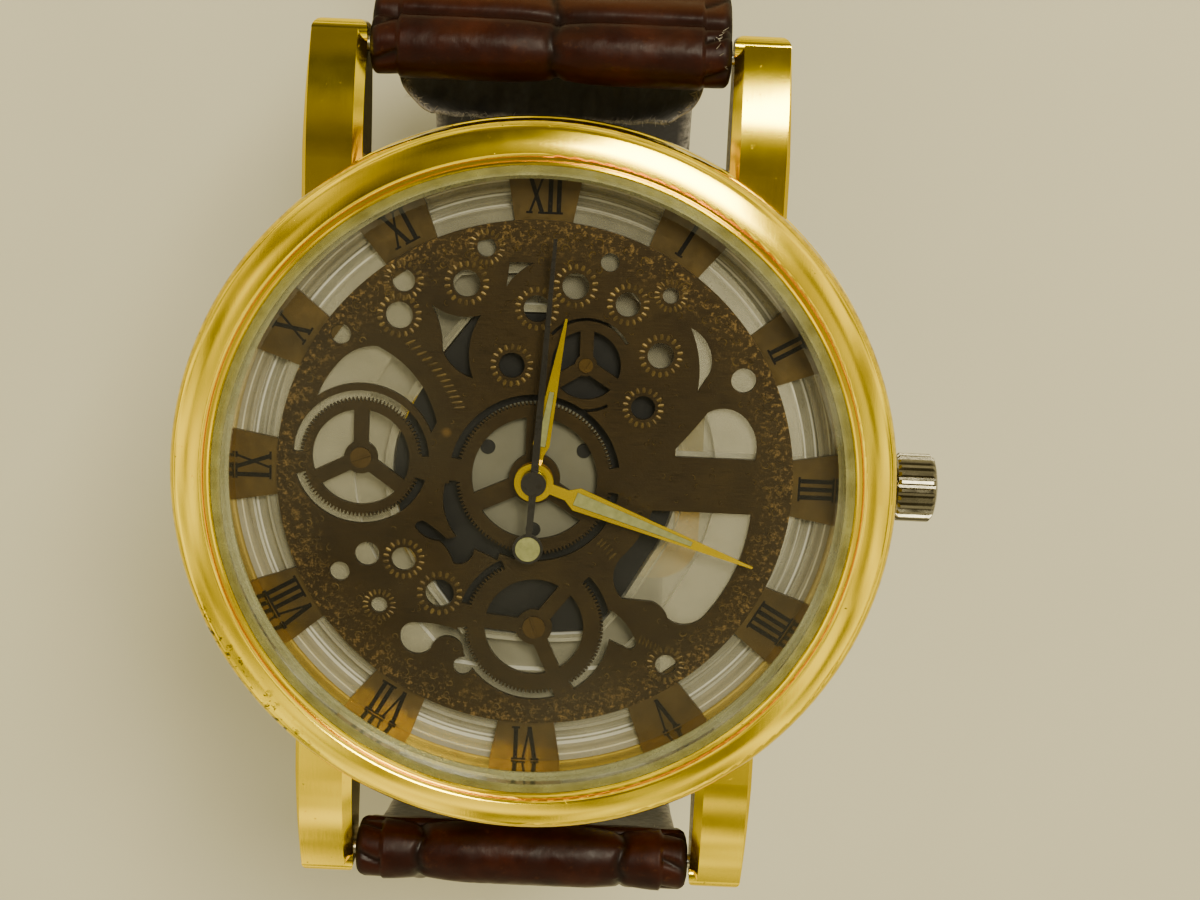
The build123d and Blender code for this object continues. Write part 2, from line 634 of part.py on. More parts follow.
def circuit_board():
    """Board beside the train, slotted for the quartz can."""
    face = outline((-6.95, -2.5), (-6.95, 2.5), (-6.15, 3.65), (-5.05, 3.65), (-5.05, -2.3),
                   (-3.75, -3.5), (-4.0, -5.0), (-5.8, -4.85))
    board = prism(face, 2.3, 2.45)
    return board - block((-6.75, -5.25), (-1.85, 3.2), (0, 4))


def quartz_can():
    """Small metal can of the tuning-fork crystal."""
    can = Pos(-6.0, 0.7, 2.45) * Rot(90, 0, 0) * Cylinder(0.68, 4.4)
    return can + Pos(-6.0, -1.6, 2.45) * Rot(90, 0, 0) * Cylinder(0.45, 0.2)


def battery():
    """Button cell with a stepped negative cap."""
    low, high = BATTERY_Z
    return disc(BATTERY_R, low, high - 0.3, BATTERY_AT) + disc(2.7, high - 0.3, high, BATTERY_AT)


def battery_clamp():
    """Sprung steel strip across the battery, screwed down at one end."""
    strip = outline((-4.1, -5.35), (-3.3, -6.1), (4.0, -4.9), (4.75, -5.2), (5.1, -4.2),
                    (4.1, -3.7), (-3.2, -4.75))
    return prism(strip, 1.5, 1.59)


def movement_holder():
    """Moulded clear ring between the movement and the case, with a stem channel."""
    holder = disc(CASE_BORE_R - 0.08, 1.55, 4.78) - prism(movement_outline(0.12), 0, 9)
    holder = holder - ring(15.35, 16.2, 4.25, 9)
    holder = holder - prism(movement_outline(2.3) - movement_outline(0.55), 4.1, 9)
    holder = holder - block((7, 18), (-1.3, 1.3), (2.3, 4.5))
    for x, y in DIAL_FEET:
        holder = holder - disc(0.42, 3.4, 9, (x, y))
    return holder


def centre_disc():
    """White disc between the movement and the dial plate, seen behind the centre wheel."""
    face = round_face(4.35) - round_face(0.8)
    for angle in PEG_ANGLES:
        face = face - round_face(0.42, polar(3.15, angle))
    return prism(face, 4.56, 4.7)


# ---------------------------------------------------------------- crown
def crown():
    """Fluted crown with a domed end, bored for the stem and recessed over the tube."""
    length = CROWN_X[1] - CROWN_X[0]
    points = []
    root = CROWN_R - 0.17
    for flute in range(CROWN_FLUTES):
        for radius, share in ((root, -0.34), (CROWN_R, -0.16), (CROWN_R, 0.16), (root, 0.34)):
            points.append(polar(radius, (flute + share) * 360 / CROWN_FLUTES))
    body = prism(make_face(Polyline(*points, close=True)), 0, length)
    envelope = turned((0, 0), (CROWN_R - 0.15, 0), (CROWN_R + 0.01, 0.16), (CROWN_R + 0.01, length - 0.42),
                      (CROWN_R - 0.22, length - 0.22), ((1.0, length - 0.03), (0, length)))
    body = body & envelope
    body = body - disc(1.36, -1, 0.95) - disc(STEM_R + 0.005, -1, length - 0.55)
    return along_x(CROWN_X[0], CROWN_Z, body)


def stem():
    """Winding stem with a groove for the setting lever."""
    start = 4.35
    return along_x(start, CROWN_Z, turned(
        (0, 0), (0.4, 0), (0.4, 1.55), (STEM_R, 1.55), (STEM_R, 1.95), (0.22, 1.95), (0.22, 2.55),
        (STEM_R, 2.55), (STEM_R, 13.4), (0.66, 13.4), (0.66, 17.0),
        (STEM_R, 17.0), (STEM_R, 18.0), (0, 18.0)))


def sliding_pinion():
    """Short pinion on the stem's inner end, with a groove for the yoke."""
    wheel = prism(gear_face(14, 0.092, 0), 0, 1.0) - ring(0.56, 1.0, 0.42, 0.62) - disc(0.46, -1, 2)
    return along_x(4.7, CROWN_Z, wheel)


def setting_lever():
    """Lever on a post, with a peg in the stem's groove."""
    x, y = LEVER_PIVOT
    face = round_face(0.5, LEVER_PIVOT) + round_face(0.32, (PEG_X, 0))
    angle = facing(LEVER_PIVOT, (PEG_X, 0))
    length = math.dist(LEVER_PIVOT, (PEG_X, 0))
    face = face + Pos(x, y) * Rot(0, 0, angle) * Pos(length / 2, 0) * Rectangle(length, 0.5)
    lever = prism(face, 1.95, 2.2) + disc(0.2, 2.1, 3.1, (PEG_X, 0))
    return lever - disc(0.25, 0, 9, LEVER_PIVOT)


# ---------------------------------------------------------------- strap
# A strap half is drawn from the side as a chain of tangent arcs from its spring bar.
# Each stretch is (length, turn in degrees); the band's outer and inner faces are offsets.
BUCKLE_HALF = {
    "start": (BAR_Y, BAR_Z), "heading": -50, "side": 1,
    "stretches": ((6, -20), (12, -30), (15, -46), (10, -34), (14, 0)),
    "outer": (1.85, 2.6, 2.9, 2.3, 1.6, 1.35)}
HOLE_HALF = {
    "start": (-BAR_Y, BAR_Z), "heading": -108, "side": -1,
    "stretches": ((6, 0), (24, 28), (16, 60), (8, 20), (22, 0), (20, 50), (18, 35)),
    "outer": (1.85, 2.6, 2.9, 2.4, 1.8, 1.5, 1.4, 1.3)}


def band_point(half, distance, offset):
    """Point of a strap half at a distance along it, pushed outwards by an offset."""
    y, z = half["start"]
    heading = math.radians(half["heading"])
    left = distance
    for length, turn in half["stretches"]:
        step = min(left, length)
        bend = math.radians(turn) * step / length
        chord = step if bend == 0 else step * math.sin(bend / 2) / (bend / 2)
        y += chord * math.cos(heading + bend / 2)
        z += chord * math.sin(heading + bend / 2)
        heading += bend
        left -= step
        if left <= 0:
            break
    normal = heading + half["side"] * math.pi / 2
    return (0, y + offset * math.cos(normal), z + offset * math.sin(normal))


def band_thickness(half, distance):
    """Leather thickness outside the lining, tapering stretch by stretch."""
    start = 0
    for number, (length, turn) in enumerate(half["stretches"]):
        if distance <= start + length + 1e-9:
            share = (distance - start) / length
            low, high = half["outer"][number:number + 2]
            return low + (high - low) * share
        start += length
    return half["outer"][-1]


def layer(half, start, end, inner, outer, width):
    """Solid layer of a strap half between two distances and two offsets."""
    marks = [start]
    straight = []
    reach = 0
    for length, turn in half["stretches"]:
        if reach + length > start + 0.01 and reach < end - 0.01:
            marks.append(min(reach + length, end))
            straight.append(turn == 0)
        reach += length

    def side_edges(offset):
        edges = []
        for flat, low, high in zip(straight, marks, marks[1:]):
            ends = [band_point(half, at, offset(at)) for at in (low, (low + high) / 2, high)]
            edges.append(Line(ends[0], ends[2]) if flat else ThreePointArc(*ends))
        return edges

    edges = side_edges(inner) + side_edges(outer)
    for at in (start, end):
        edges.append(Line(band_point(half, at, inner(at)), band_point(half, at, outer(at))))
    face = Face(Wire(edges))
    return extrude(Pos(-width / 2, 0, 0) * face, width, dir=(1, 0, 0))


def taper(y_low, y_high, z_high, z_low):
    """Wedge that narrows a strap half from the lugs down to its plain width."""
    wide = STRAP_LUG_WIDTH / 2
    slim = STRAP_END_WIDTH / 2
    face = make_face(Polyline((-wide, 6), (wide, 6), (wide, z_high), (slim, z_low), (slim, -60),
                              (-slim, -60), (-slim, z_low), (-wide, z_high), close=True))
    return extrude(Plane.XZ.offset(-y_high) * face, y_high - y_low)


def bar_roll(half, distance, radius, width):
    """Round end of a strap half where it wraps a bar."""
    centre = band_point(half, distance, 0)
    return Pos(*centre) * Rot(0, 90, 0) * Cylinder(radius, width)


def half_length(half):
    """Length of a strap half along its bend."""
    return sum(length for length, turn in half["stretches"])


def band_layers(half, start, end):
    """Leather with its padding, and the lining under it."""
    leather = layer(
        half, start, end, lambda at: LAYER_GAP, lambda at: band_thickness(half, at), STRAP_LUG_WIDTH)
    lining = layer(
        half, max(start, ROLL_R + 0.35), end, lambda at: -LINING, lambda at: -LAYER_GAP, STRAP_LUG_WIDTH)
    return leather, lining


def buckle_half():
    """Short strap half, rolled round the spring bar at one end and the buckle bar at the other."""
    half = BUCKLE_HALF
    total = half_length(half)
    leather, lining = band_layers(half, 0, total)
    narrow = taper(-40, 40, 0, -26)
    leather = (leather + bar_roll(half, 0, ROLL_R, STRAP_LUG_WIDTH)) & narrow
    leather = leather + bar_roll(half, total, 1.35, STRAP_END_WIDTH)
    leather = leather - bar_roll(half, 0, STRAP_HINGE, 40)
    leather = leather - bar_roll(half, total, BUCKLE_BAR_R + 0.08, 40)
    end = band_point(half, total, 0)
    slot = block((-1.25, 1.25), (end[1] - 3, end[1] + 2.4), (end[2] - 4, end[2] + 4))
    past_roll = block((-20, 20), (end[1] - 9, end[1] + 1.5), (end[2] - 4, end[2] + 4))
    return leather - slot, (lining & narrow) - past_roll - slot


def hole_half():
    """Long strap half with the adjustment holes and a rounded tip."""
    half = HOLE_HALF
    total = half_length(half)
    joint = sum(length for length, turn in half["stretches"][:5])
    leather, lining = band_layers(half, 0, joint)
    narrow = taper(-40, 60, 0, -30)
    leather = ((leather + bar_roll(half, 0, ROLL_R, STRAP_LUG_WIDTH)) & narrow)
    leather = leather - bar_roll(half, 0, STRAP_HINGE, 40)
    lining = lining & narrow
    tail_leather, tail_lining = band_layers(half, joint, total)
    tip = band_point(half, total, 0)
    slim = STRAP_END_WIDTH / 2
    reach = outline(
        (-slim, -80), (slim, -80), (slim, tip[2] - 8),
        ((slim - 1.6, tip[2] - 3.2), (2.2, tip[2] + 0.5)),
        ((0, tip[2] + 1.0), (-2.2, tip[2] + 0.5)),
        ((-slim + 1.6, tip[2] - 3.2), (-slim, tip[2] - 8)))
    rounded = extrude(Plane.XZ.offset(-60) * reach, 80)
    leather = leather + (tail_leather & rounded)
    lining = lining + (tail_lining & rounded)
    for number in range(HOLE_COUNT):
        at = total - 22 - number * HOLE_PITCH
        inner = band_point(half, at, -3)
        outer = band_point(half, at, 5)
        middle = band_point(half, at, 0)
        across = Vector(*outer) - Vector(*inner)
        drill = Plane(origin=middle, z_dir=across) * Cylinder(0.95, 12)
        leather = leather - drill
        lining = lining - drill
    return leather, lining


def keeper(middle_y, length):
    """Leather loop round the straight run beside the buckle."""
    run_z = band_point(BUCKLE_HALF, half_length(BUCKLE_HALF), 0)[2]
    half_width = STRAP_END_WIDTH / 2 + 0.2
    low = run_z - 1.62 - 0.25
    high = run_z + LINING + 0.25
    y_range = (middle_y - length / 2, middle_y + length / 2)
    shell = block((-half_width - 0.9, half_width + 0.9), y_range, (low - 0.9, high + 0.8))
    shell = fillet(shell.edges().filter_by(Axis.Y), 0.7)
    return shell - block((-half_width, half_width), (middle_y - 9, middle_y + 9), (low, high))


# ---------------------------------------------------------------- buckle
def buckle_frame(bar):
    """Rounded U-frame with a far bar that the tang rests on."""
    y, z = bar[1], bar[2]
    outer = BUCKLE_WIDTH / 2
    inner = BUCKLE_GAP / 2
    far = y - BUCKLE_LENGTH
    face = outline(
        (-outer, y + 1.1), (-outer, far + 3.2), ((-outer + 0.9, far + 0.9), (-outer + 3.2, far)),
        (outer - 3.2, far), ((outer - 0.9, far + 0.9), (outer, far + 3.2)), (outer, y + 1.1),
        (inner, y + 1.1), (inner, far + 3.4), (inner - 1.3, far + 2.1), (-inner + 1.3, far + 2.1),
        (-inner, far + 3.4), (-inner, y + 1.1))
    frame = prism(face, z - 1.0, z + 1.0)
    frame = frame - Pos(0, y, z) * Rot(0, 90, 0) * Cylinder(BUCKLE_BAR_R + 0.01, 40)
    return frame - block((-0.95, 0.95), (far - 1, far + 3), (z - 3, z - 0.55))


def buckle_tang(bar):
    """Flat prong that turns on the buckle bar and rests in the frame's groove."""
    y, z = bar[1], bar[2]
    side = outline((y + 0.2, z - 1.05), (y - 3.0, z - 1.2), (y - BUCKLE_LENGTH + 0.2, z - 1.15),
                   ((y - BUCKLE_LENGTH - 0.35, z - 0.9), (y - BUCKLE_LENGTH + 0.2, z - 0.6)),
                   (y - 3.0, z - 0.55), (y - 0.2, z + 0.4))
    prong = extrude(Pos(-0.8, 0, 0) * (Plane.YZ * side), 1.6, dir=(1, 0, 0))
    eye = Pos(0, y, z) * Rot(0, 90, 0) * Cylinder(1.08, 1.6)
    return prong + eye - Pos(0, y, z) * Rot(0, 90, 0) * Cylinder(BUCKLE_BAR_R + 0.06, 4)


# ---------------------------------------------------------------- spring bars
def spring_bar(end):
    """Tube of a spring bar between two lugs."""
    tube = Cylinder(BAR_TUBE_R, 19.3) - Cylinder(BAR_BORE_R, 30)
    return Pos(0, end * BAR_Y, BAR_Z) * Rot(0, 90, 0) * tube


def plunger(end, side):
    """Sprung pin of a spring bar, with its tip in a lug."""
    start, stop = 7.4, LUG_GAP / 2 + 0.85
    pin = Rot(0, 90, 0) * Cylinder(PLUNGER_R, stop - start)
    return Pos(side * (start + stop) / 2, end * BAR_Y, BAR_Z) * pin


# ---------------------------------------------------------------- nodes
def build():
    """Make and write every node."""
    write("mid_case", mid_case())
    write("bezel", bezel())
    write("crystal", crystal())
    write("crystal_gasket", crystal_gasket())
    write("rehaut_ring", ring(*REHAUT_R, TAB_Z[1] + 0.02, 6.85))
    write("caseback_ring", caseback_ring())
    write("caseback_glass", disc(16.28, 0.62, 1.42) + disc(15.55, 0, 1))
    write("caseback_gasket", ring(17.6, 18.2, CASE_LOW_Z, 0.86))

    write("skeleton_plate", skeleton_plate())
    write("chapter_ring", chapter_ring())
    write("roman_numerals", *roman_numerals())
    write("dial_screws",
          slotted_screw(NINE, 0.6, 20), slotted_screw(SIX, 0.65, 110), slotted_screw(SMALL, 0.4, 60))
    write("centre_disc", centre_disc())

    hour_hand, hour_lume = main_hand(
        HOUR_ANGLE, HOUR_LENGTH, 0.5, 2.1, 0.95, (2.0, 5.2, 0.5, 0.3), 5.8, HOUR_PIPE_R[1] + 0.005)
    minute_hand, minute_lume = main_hand(
        MINUTE_ANGLE, MINUTE_LENGTH, 0.6, 2.6, 1.35, (2.5, 9.6, 0.8, 0.3), 6.22, CANNON_R[1] + 0.005)
    needle, second_lume = second_hand()
    write("hour_hand", hour_hand)
    write("hour_lume", hour_lume)
    write("minute_hand", minute_hand)
    write("minute_lume", minute_lume)
    write("second_hand", needle)
    write("second_lume", second_lume)

    rotor, magnet, intermediate, third, seconds, centre = rotor_and_train()
    cannon, minute_wheel, hour_wheel = motion_work()
    write("main_plate", main_plate())
    write("rotor_pinion", rotor)
    write("rotor_magnet", magnet)
    write("intermediate_wheel", intermediate)
    write("third_wheel", third)
    write("seconds_wheel", seconds)
    write("centre_wheel", centre)
    write("cannon_pinion", cannon)
    write("minute_wheel", minute_wheel)
    write("hour_wheel", hour_wheel)
    write("train_bridge", train_bridge())
    write("movement_screws", *movement_screws())
    write("stator", stator())
    write("coil_core", coil_core())
    write("coil", coil())
    write("circuit_board", circuit_board())
    write("timing_chip", block((-5.7, -4.5), (-4.3, -3.1), (1.78, 2.29)))
    write("quartz_can", quartz_can())
    write("battery", battery())
    write("battery_clamp", battery_clamp())
    write("movement_holder", movement_holder())

    write("crown", crown())
    write("crown_o_ring", along_x(CROWN_X[0] + 0.15, CROWN_Z, ring(TUBE_R + 0.05, 1.34, 0, 0.3)))
    write("crown_tube", along_x(17.5, CROWN_Z, ring(TUBE_BORE_R, TUBE_R, 0, 3.6)))
    write("stem", stem())
    write("sliding_pinion", sliding_pinion())
    write("setting_lever", setting_lever())

    short_leather, short_lining = buckle_half()
    long_leather, long_lining = hole_half()
    bar = band_point(BUCKLE_HALF, half_length(BUCKLE_HALF), 0)
    write("strap_12_leather", short_leather)
    write("strap_12_lining", short_lining)
    write("strap_6_leather", long_leather)
    write("strap_6_lining", long_lining)
    write("fixed_keeper", keeper(bar[1] + 4.7, 3.6))
    write("sliding_keeper", keeper(bar[1] + 10.3, 3.6))
    write("buckle_frame", buckle_frame(bar))
    write("buckle_bar", Pos(*bar) * Rot(0, 90, 0) * Cylinder(BUCKLE_BAR_R, BUCKLE_WIDTH - 0.2))
    write("buckle_tang", buckle_tang(bar))
    write("spring_bars", spring_bar(1), spring_bar(-1))
    for end, hour in ((1, "12"), (-1, "6")):
        for side, name in ((-1, "left"), (1, "right")):
            write(f"plunger_{hour}_{name}", plunger(end, side))
    print("buckle bar", bar)
    print("strap tip", band_point(HOLE_HALF, half_length(HOLE_HALF), 0))


build()
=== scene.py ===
import math
import random

import bmesh
import bpy
import numpy as np
from mathutils import Matrix, Vector


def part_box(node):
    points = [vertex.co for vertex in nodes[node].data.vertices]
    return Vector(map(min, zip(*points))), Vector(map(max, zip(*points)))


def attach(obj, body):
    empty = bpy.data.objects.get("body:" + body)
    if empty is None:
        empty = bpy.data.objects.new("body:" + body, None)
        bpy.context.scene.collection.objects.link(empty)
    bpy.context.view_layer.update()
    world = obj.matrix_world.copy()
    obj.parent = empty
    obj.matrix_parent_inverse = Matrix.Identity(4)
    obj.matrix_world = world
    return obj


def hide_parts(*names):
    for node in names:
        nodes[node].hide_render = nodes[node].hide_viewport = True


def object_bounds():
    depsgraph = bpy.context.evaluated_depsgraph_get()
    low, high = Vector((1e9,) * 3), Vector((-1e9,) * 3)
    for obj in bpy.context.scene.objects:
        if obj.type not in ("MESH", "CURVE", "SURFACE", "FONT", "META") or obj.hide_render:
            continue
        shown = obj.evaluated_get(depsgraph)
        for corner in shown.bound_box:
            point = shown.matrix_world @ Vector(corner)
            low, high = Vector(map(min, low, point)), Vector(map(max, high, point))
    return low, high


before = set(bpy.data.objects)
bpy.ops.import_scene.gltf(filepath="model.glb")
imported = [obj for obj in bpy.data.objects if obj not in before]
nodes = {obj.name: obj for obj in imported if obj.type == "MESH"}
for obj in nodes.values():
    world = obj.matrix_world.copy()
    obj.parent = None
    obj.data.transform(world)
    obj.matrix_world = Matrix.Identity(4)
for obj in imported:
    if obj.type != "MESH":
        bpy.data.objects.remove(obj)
cad_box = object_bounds()
MM = 0.001

# Camera: turns about the dial's X, Y and Z axes in radians, and its place along its own axes in mm
CAMERA_TURNS = (0.2185, -0.0114, -0.0427)
CAMERA_SHIFT = (3.708, 1.62, 115.0)
CAMERA_LENS = 60.96
FLOOR_HALF = 3.0
# Window light, which looks at the origin: place and size in mm, power in watts
WINDOW_PLACE = (98, 190, 380)
WINDOW_SIZE = 140
WINDOW_POWER = 2.3
DIAL_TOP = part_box("skeleton_plate")[1].z


# ---------------------------------------------------------------- node helpers
class Nodes:
    """Short calls for making and linking the nodes of one tree."""

    def __init__(self, tree):
        self.tree = tree

    def add(self, kind, inputs=(), **settings):
        """New node with its settings and its inputs by name or number, as values or sockets."""
        node = self.tree.nodes.new(kind)
        for key, value in settings.items():
            setattr(node, key, value)
        for key, value in dict(inputs).items():
            self.feed(node.inputs[key], value)
        return node

    def feed(self, socket, value):
        """Link a socket, or set a plain value on it."""
        if isinstance(value, bpy.types.NodeSocket):
            self.tree.links.new(value, socket)
        else:
            socket.default_value = value

    def remap(self, value, low, high, new_low=0.0, new_high=1.0):
        """Value stretched from one range to another and held inside it."""
        return self.add("ShaderNodeMapRange", {
            "Value": value, "From Min": low, "From Max": high,
            "To Min": new_low, "To Max": new_high}).outputs[0]

    def calc(self, operation, *values):
        """Arithmetic on up to three values."""
        return self.add("ShaderNodeMath", dict(enumerate(values)), operation=operation).outputs[0]

    def times(self, first, second):
        """Product of two values."""
        return self.calc("MULTIPLY", first, second)

    def plus(self, first, second):
        """Sum of two values."""
        return self.calc("ADD", first, second)

    def ramp(self, value, *stops):
        """Colour ramp; each stop is (place, (r, g, b))."""
        node = self.add("ShaderNodeValToRGB", {0: value})
        elements = node.color_ramp.elements
        while len(elements) < len(stops):
            elements.new(0.5)
        for element, (place, colour) in zip(elements, stops):
            element.position = place
            element.color = (*colour, 1)
        return node.outputs[0]


class Graph(Nodes):
    """A new material's node tree, with the calls that the finishes share."""

    def __init__(self, name):
        self.material = bpy.data.materials.new(name)
        self.material.use_nodes = True
        super().__init__(self.material.node_tree)
        self.shader = self.tree.nodes["Principled BSDF"]
        self.coords = self.add("ShaderNodeTexCoord").outputs["Object"]

    def set(self, **values):
        """Set or link the shader's inputs; an underscore stands for a space."""
        for key, value in values.items():
            self.feed(self.shader.inputs[key.replace("_", " ")], value)

    def noise(self, size_mm, detail=4.0, roughness=0.55, stretch=(1, 1, 1), distortion=0.0):
        """Noise value with features about size_mm across, stretched along an axis."""
        placed = self.add("ShaderNodeMapping", {"Vector": self.coords, "Scale": stretch})
        return self.add("ShaderNodeTexNoise", {
            "Vector": placed.outputs[0], "Scale": 1 / (size_mm * MM), "Detail": detail,
            "Roughness": roughness, "Distortion": distortion}).outputs[0]

    def uneven(self, size_mm, detail, low, high):
        """Value that wanders between two limits."""
        return self.remap(self.noise(size_mm, detail), 0.3, 0.7, low, high)

    def cells(self, size_mm, feature="F1"):
        """Voronoi distance with cells about size_mm across."""
        return self.add("ShaderNodeTexVoronoi", {"Vector": self.coords, "Scale": 1 / (size_mm * MM)},
                        feature=feature).outputs["Distance"]

    def mix(self, share, first, second):
        """Colour mix; plain colours are (r, g, b)."""
        node = self.add("ShaderNodeMix", data_type="RGBA")
        self.feed(node.inputs[0], share)
        for socket, value in ((node.inputs[6], first), (node.inputs[7], second)):
            self.feed(socket, value if isinstance(value, bpy.types.NodeSocket) else (*value, 1))
        return node.outputs[2]

    def bump(self, height, depth_mm, strength=1.0, normal=None):
        """Surface normal from a height value."""
        inputs = {"Height": height, "Distance": depth_mm * MM, "Strength": strength}
        if normal is not None:
            inputs["Normal"] = normal
        return self.add("ShaderNodeBump", inputs).outputs[0]

    def axis(self, name):
        """One coordinate of the surface point, in metres."""
        return self.add("ShaderNodeSeparateXYZ", {0: self.coords}).outputs[name]

    def radius(self, centre=(0, 0)):
        """Distance from an upright axis, in mm."""
        x = self.calc("SUBTRACT", self.axis("X"), centre[0] * MM)
        y = self.calc("SUBTRACT", self.axis("Y"), centre[1] * MM)
        squares = self.plus(self.times(x, x), self.times(y, y))
        return self.times(self.calc("SQRT", squares), 1 / MM)

    def upright(self):
        """How far the surface faces up or down, from 0 to 1."""
        normal = self.add("ShaderNodeTexCoord").outputs["Normal"]
        return self.calc("ABSOLUTE", self.add("ShaderNodeSeparateXYZ", {0: normal}).outputs["Z"])

    def relief(self):
        """How far a strap's surface is groove, edge and pale patch, from its relief colour."""
        shade = self.add("ShaderNodeVertexColor", layer_name="relief").outputs[0]
        return self.add("ShaderNodeSeparateColor", {0: shade}).outputs


# ---------------------------------------------------------------- metals
# In mm: the bezel's speckled rim from and to, the dial's dull gold spot, and the coil's wire
BEZEL_RIM = (20.02, 20.2)
DIAL_SPOT = (-5.05, 2.45)
COIL_WIRE = 0.07
# Painted rings of highlight and shade on the movement holder, for the glints and dark lines of its moulded
# steps: radius and half width in mm, and colour
HOLDER_LIGHT_AND_SHADE_RINGS = (
    (15.2, 0.10, (0.20, 0.19, 0.14)), (15.42, 0.07, (0.95, 0.93, 0.80)), (16.02, 0.08, (0.98, 0.96, 0.84)),
    (16.5, 0.12, (0.16, 0.145, 0.09)), (16.8, 0.06, (0.80, 0.77, 0.60)))


def gold_plating(name, wear=0.5, roughness=0.14, worn_rim=False):
    """Polished yellow gold plating with fine scratches, dark chips and dull worn patches.

    A worn rim is speckled along the bezel's outer edge and flaked at its lower left.
    """
    g = Graph(name)
    tone = g.ramp(g.noise(9, 2), (0.3, (0.93, 0.65, 0.004)), (0.7, (1.0, 0.75, 0.010)))
    worn = g.remap(g.noise(0.8, 6, 0.7), 0.70 - 0.05 * wear, 0.78 - 0.05 * wear)
    tone = g.mix(g.times(worn, 0.4 * wear), tone, (0.50, 0.36, 0.16))
    fleck = g.remap(g.noise(0.34, 3, 0.6), 0.725 - 0.03 * wear, 0.74 - 0.03 * wear)
    patch = g.remap(g.noise(3.6, 2), 0.47, 0.58)
    chips = g.times(fleck, patch)
    tone = g.mix(chips, tone, (0.035, 0.022, 0.010))
    if worn_rim:
        rim = g.times(g.remap(g.radius(), *BEZEL_RIM), g.remap(g.noise(0.55, 5, 0.7), 0.42, 0.62))
        tone = g.mix(g.times(rim, 0.7), tone, (0.11, 0.062, 0.018))
        low_left = g.plus(g.times(g.axis("X"), -0.8 / MM), g.times(g.axis("Y"), -0.6 / MM))
        flaking = g.times(g.remap(low_left, 18.7, 19.5), g.remap(g.noise(0.5, 4, 0.7), 0.56, 0.60))
        tone = g.mix(g.times(flaking, 0.9), tone, (0.020, 0.012, 0.006))
    scratches = g.noise(0.12, 2, 0.5, stretch=(1, 0.06, 0.3), distortion=0.4)
    smear = g.remap(g.noise(2.4, 5), 0.35, 0.7, roughness * 0.94, roughness * 1.1)
    rough = g.plus(smear, g.times(g.calc("MAXIMUM", chips, worn), 0.25 * wear))
    ripple = g.bump(g.noise(3.2, 2), 0.0026)
    fine = g.bump(scratches, 0.001, 1.0, ripple)
    g.set(Base_Color=tone, Metallic=g.remap(chips, 0, 1, 1.0, 0.3), Roughness=rough,
          Normal=g.bump(g.times(chips, -1.0), 0.02, 1.0, fine))
    return g.material


def polished_steel(name, colour=(0.62, 0.61, 0.59), roughness=0.2, grain=(1, 1, 1)):
    """Steel with a faint grain and fingermark variation."""
    g = Graph(name)
    tone = g.mix(g.noise(1.5, 4), tuple(0.82 * c for c in colour), colour)
    lines = g.noise(0.06, 2, stretch=grain)
    rough = g.remap(g.noise(1.1, 5), 0.3, 0.75, roughness * 0.75, roughness * 1.8)
    g.set(Base_Color=tone, Metallic=1.0, Roughness=rough, Normal=g.bump(lines, 0.003))
    return g.material


def turned_metal(name, colour, centre, roughness=0.24):
    """Metal with rings left by turning about an upright axis."""
    g = Graph(name)
    rings = g.calc("SINE", g.times(g.radius(centre), 55.0))
    tone = g.mix(g.noise(0.8, 4), tuple(0.78 * c for c in colour), colour)
    g.set(Base_Color=tone, Metallic=1.0, Roughness=g.uneven(0.6, 4, roughness, roughness * 1.7),
          Normal=g.bump(rings, 0.0012))
    return g.material


def bronze_dial(name):
    """Dark bronze sheet, brushed along X, tarnished in patches, with painted glints speckled along its rim
    and a dull gold spot.
    """
    g = Graph(name)
    brushing = g.noise(0.05, 3, 0.6, stretch=(0.04, 1, 1))
    base = g.ramp(g.noise(3.2, 5, 0.6), (0.3, (0.017, 0.0098, 0.0022)), (0.55, (0.026, 0.0156, 0.0036)),
                  (0.8, (0.041, 0.0245, 0.0056)))
    base = g.mix(g.times(g.remap(brushing, 0.35, 0.75), 0.3), base, (0.07, 0.043, 0.011))
    # painted highlight: pale glints speckled along the rim, where the scrollwork catches the light
    rim = g.remap(g.radius(), 12.2, 14.4)
    glint = g.times(rim, g.remap(g.noise(0.24, 5, 0.7), 0.52, 0.66))
    base = g.mix(g.times(glint, 0.6), base, (0.34, 0.21, 0.06))
    spot = g.remap(g.radius(DIAL_SPOT), 0.34, 0.12)
    base = g.mix(g.times(spot, 0.6), base, (0.15, 0.085, 0.018))
    pits = g.bump(g.noise(0.2, 4), 0.01)
    g.set(Base_Color=base, Metallic=0.75, Roughness=g.remap(brushing, 0.3, 0.7, 0.36, 0.55),
          Normal=g.bump(brushing, 0.006, 1.0, pits))
    return g.material


def ochre_tabs(name):
    """Satin ochre-gold numeral tabs with uneven toning."""
    g = Graph(name)
    tone = g.ramp(g.noise(2.6, 4), (0.28, (0.038, 0.0235, 0.0044)), (0.52, (0.066, 0.041, 0.0076)),
                  (0.78, (0.112, 0.069, 0.0125)))
    speck = g.remap(g.noise(0.22, 3), 0.70, 0.76)
    tone = g.mix(speck, tone, (0.10, 0.06, 0.025))
    g.set(Base_Color=tone, Metallic=0.6, Roughness=g.uneven(0.5, 4, 0.32, 0.5),
          Normal=g.bump(g.noise(0.09, 3), 0.006))
    return g.material


def engraving_gold(name):
    """Dull olive gold of the raised ornament."""
    g = Graph(name)
    tone = g.ramp(g.noise(0.7, 4), (0.35, (0.050, 0.031, 0.007)), (0.6, (0.105, 0.068, 0.016)),
                  (0.8, (0.21, 0.145, 0.038)))
    g.set(Base_Color=tone, Metallic=0.7, Roughness=0.45, Normal=g.bump(g.noise(0.08, 3), 0.008))
    return g.material


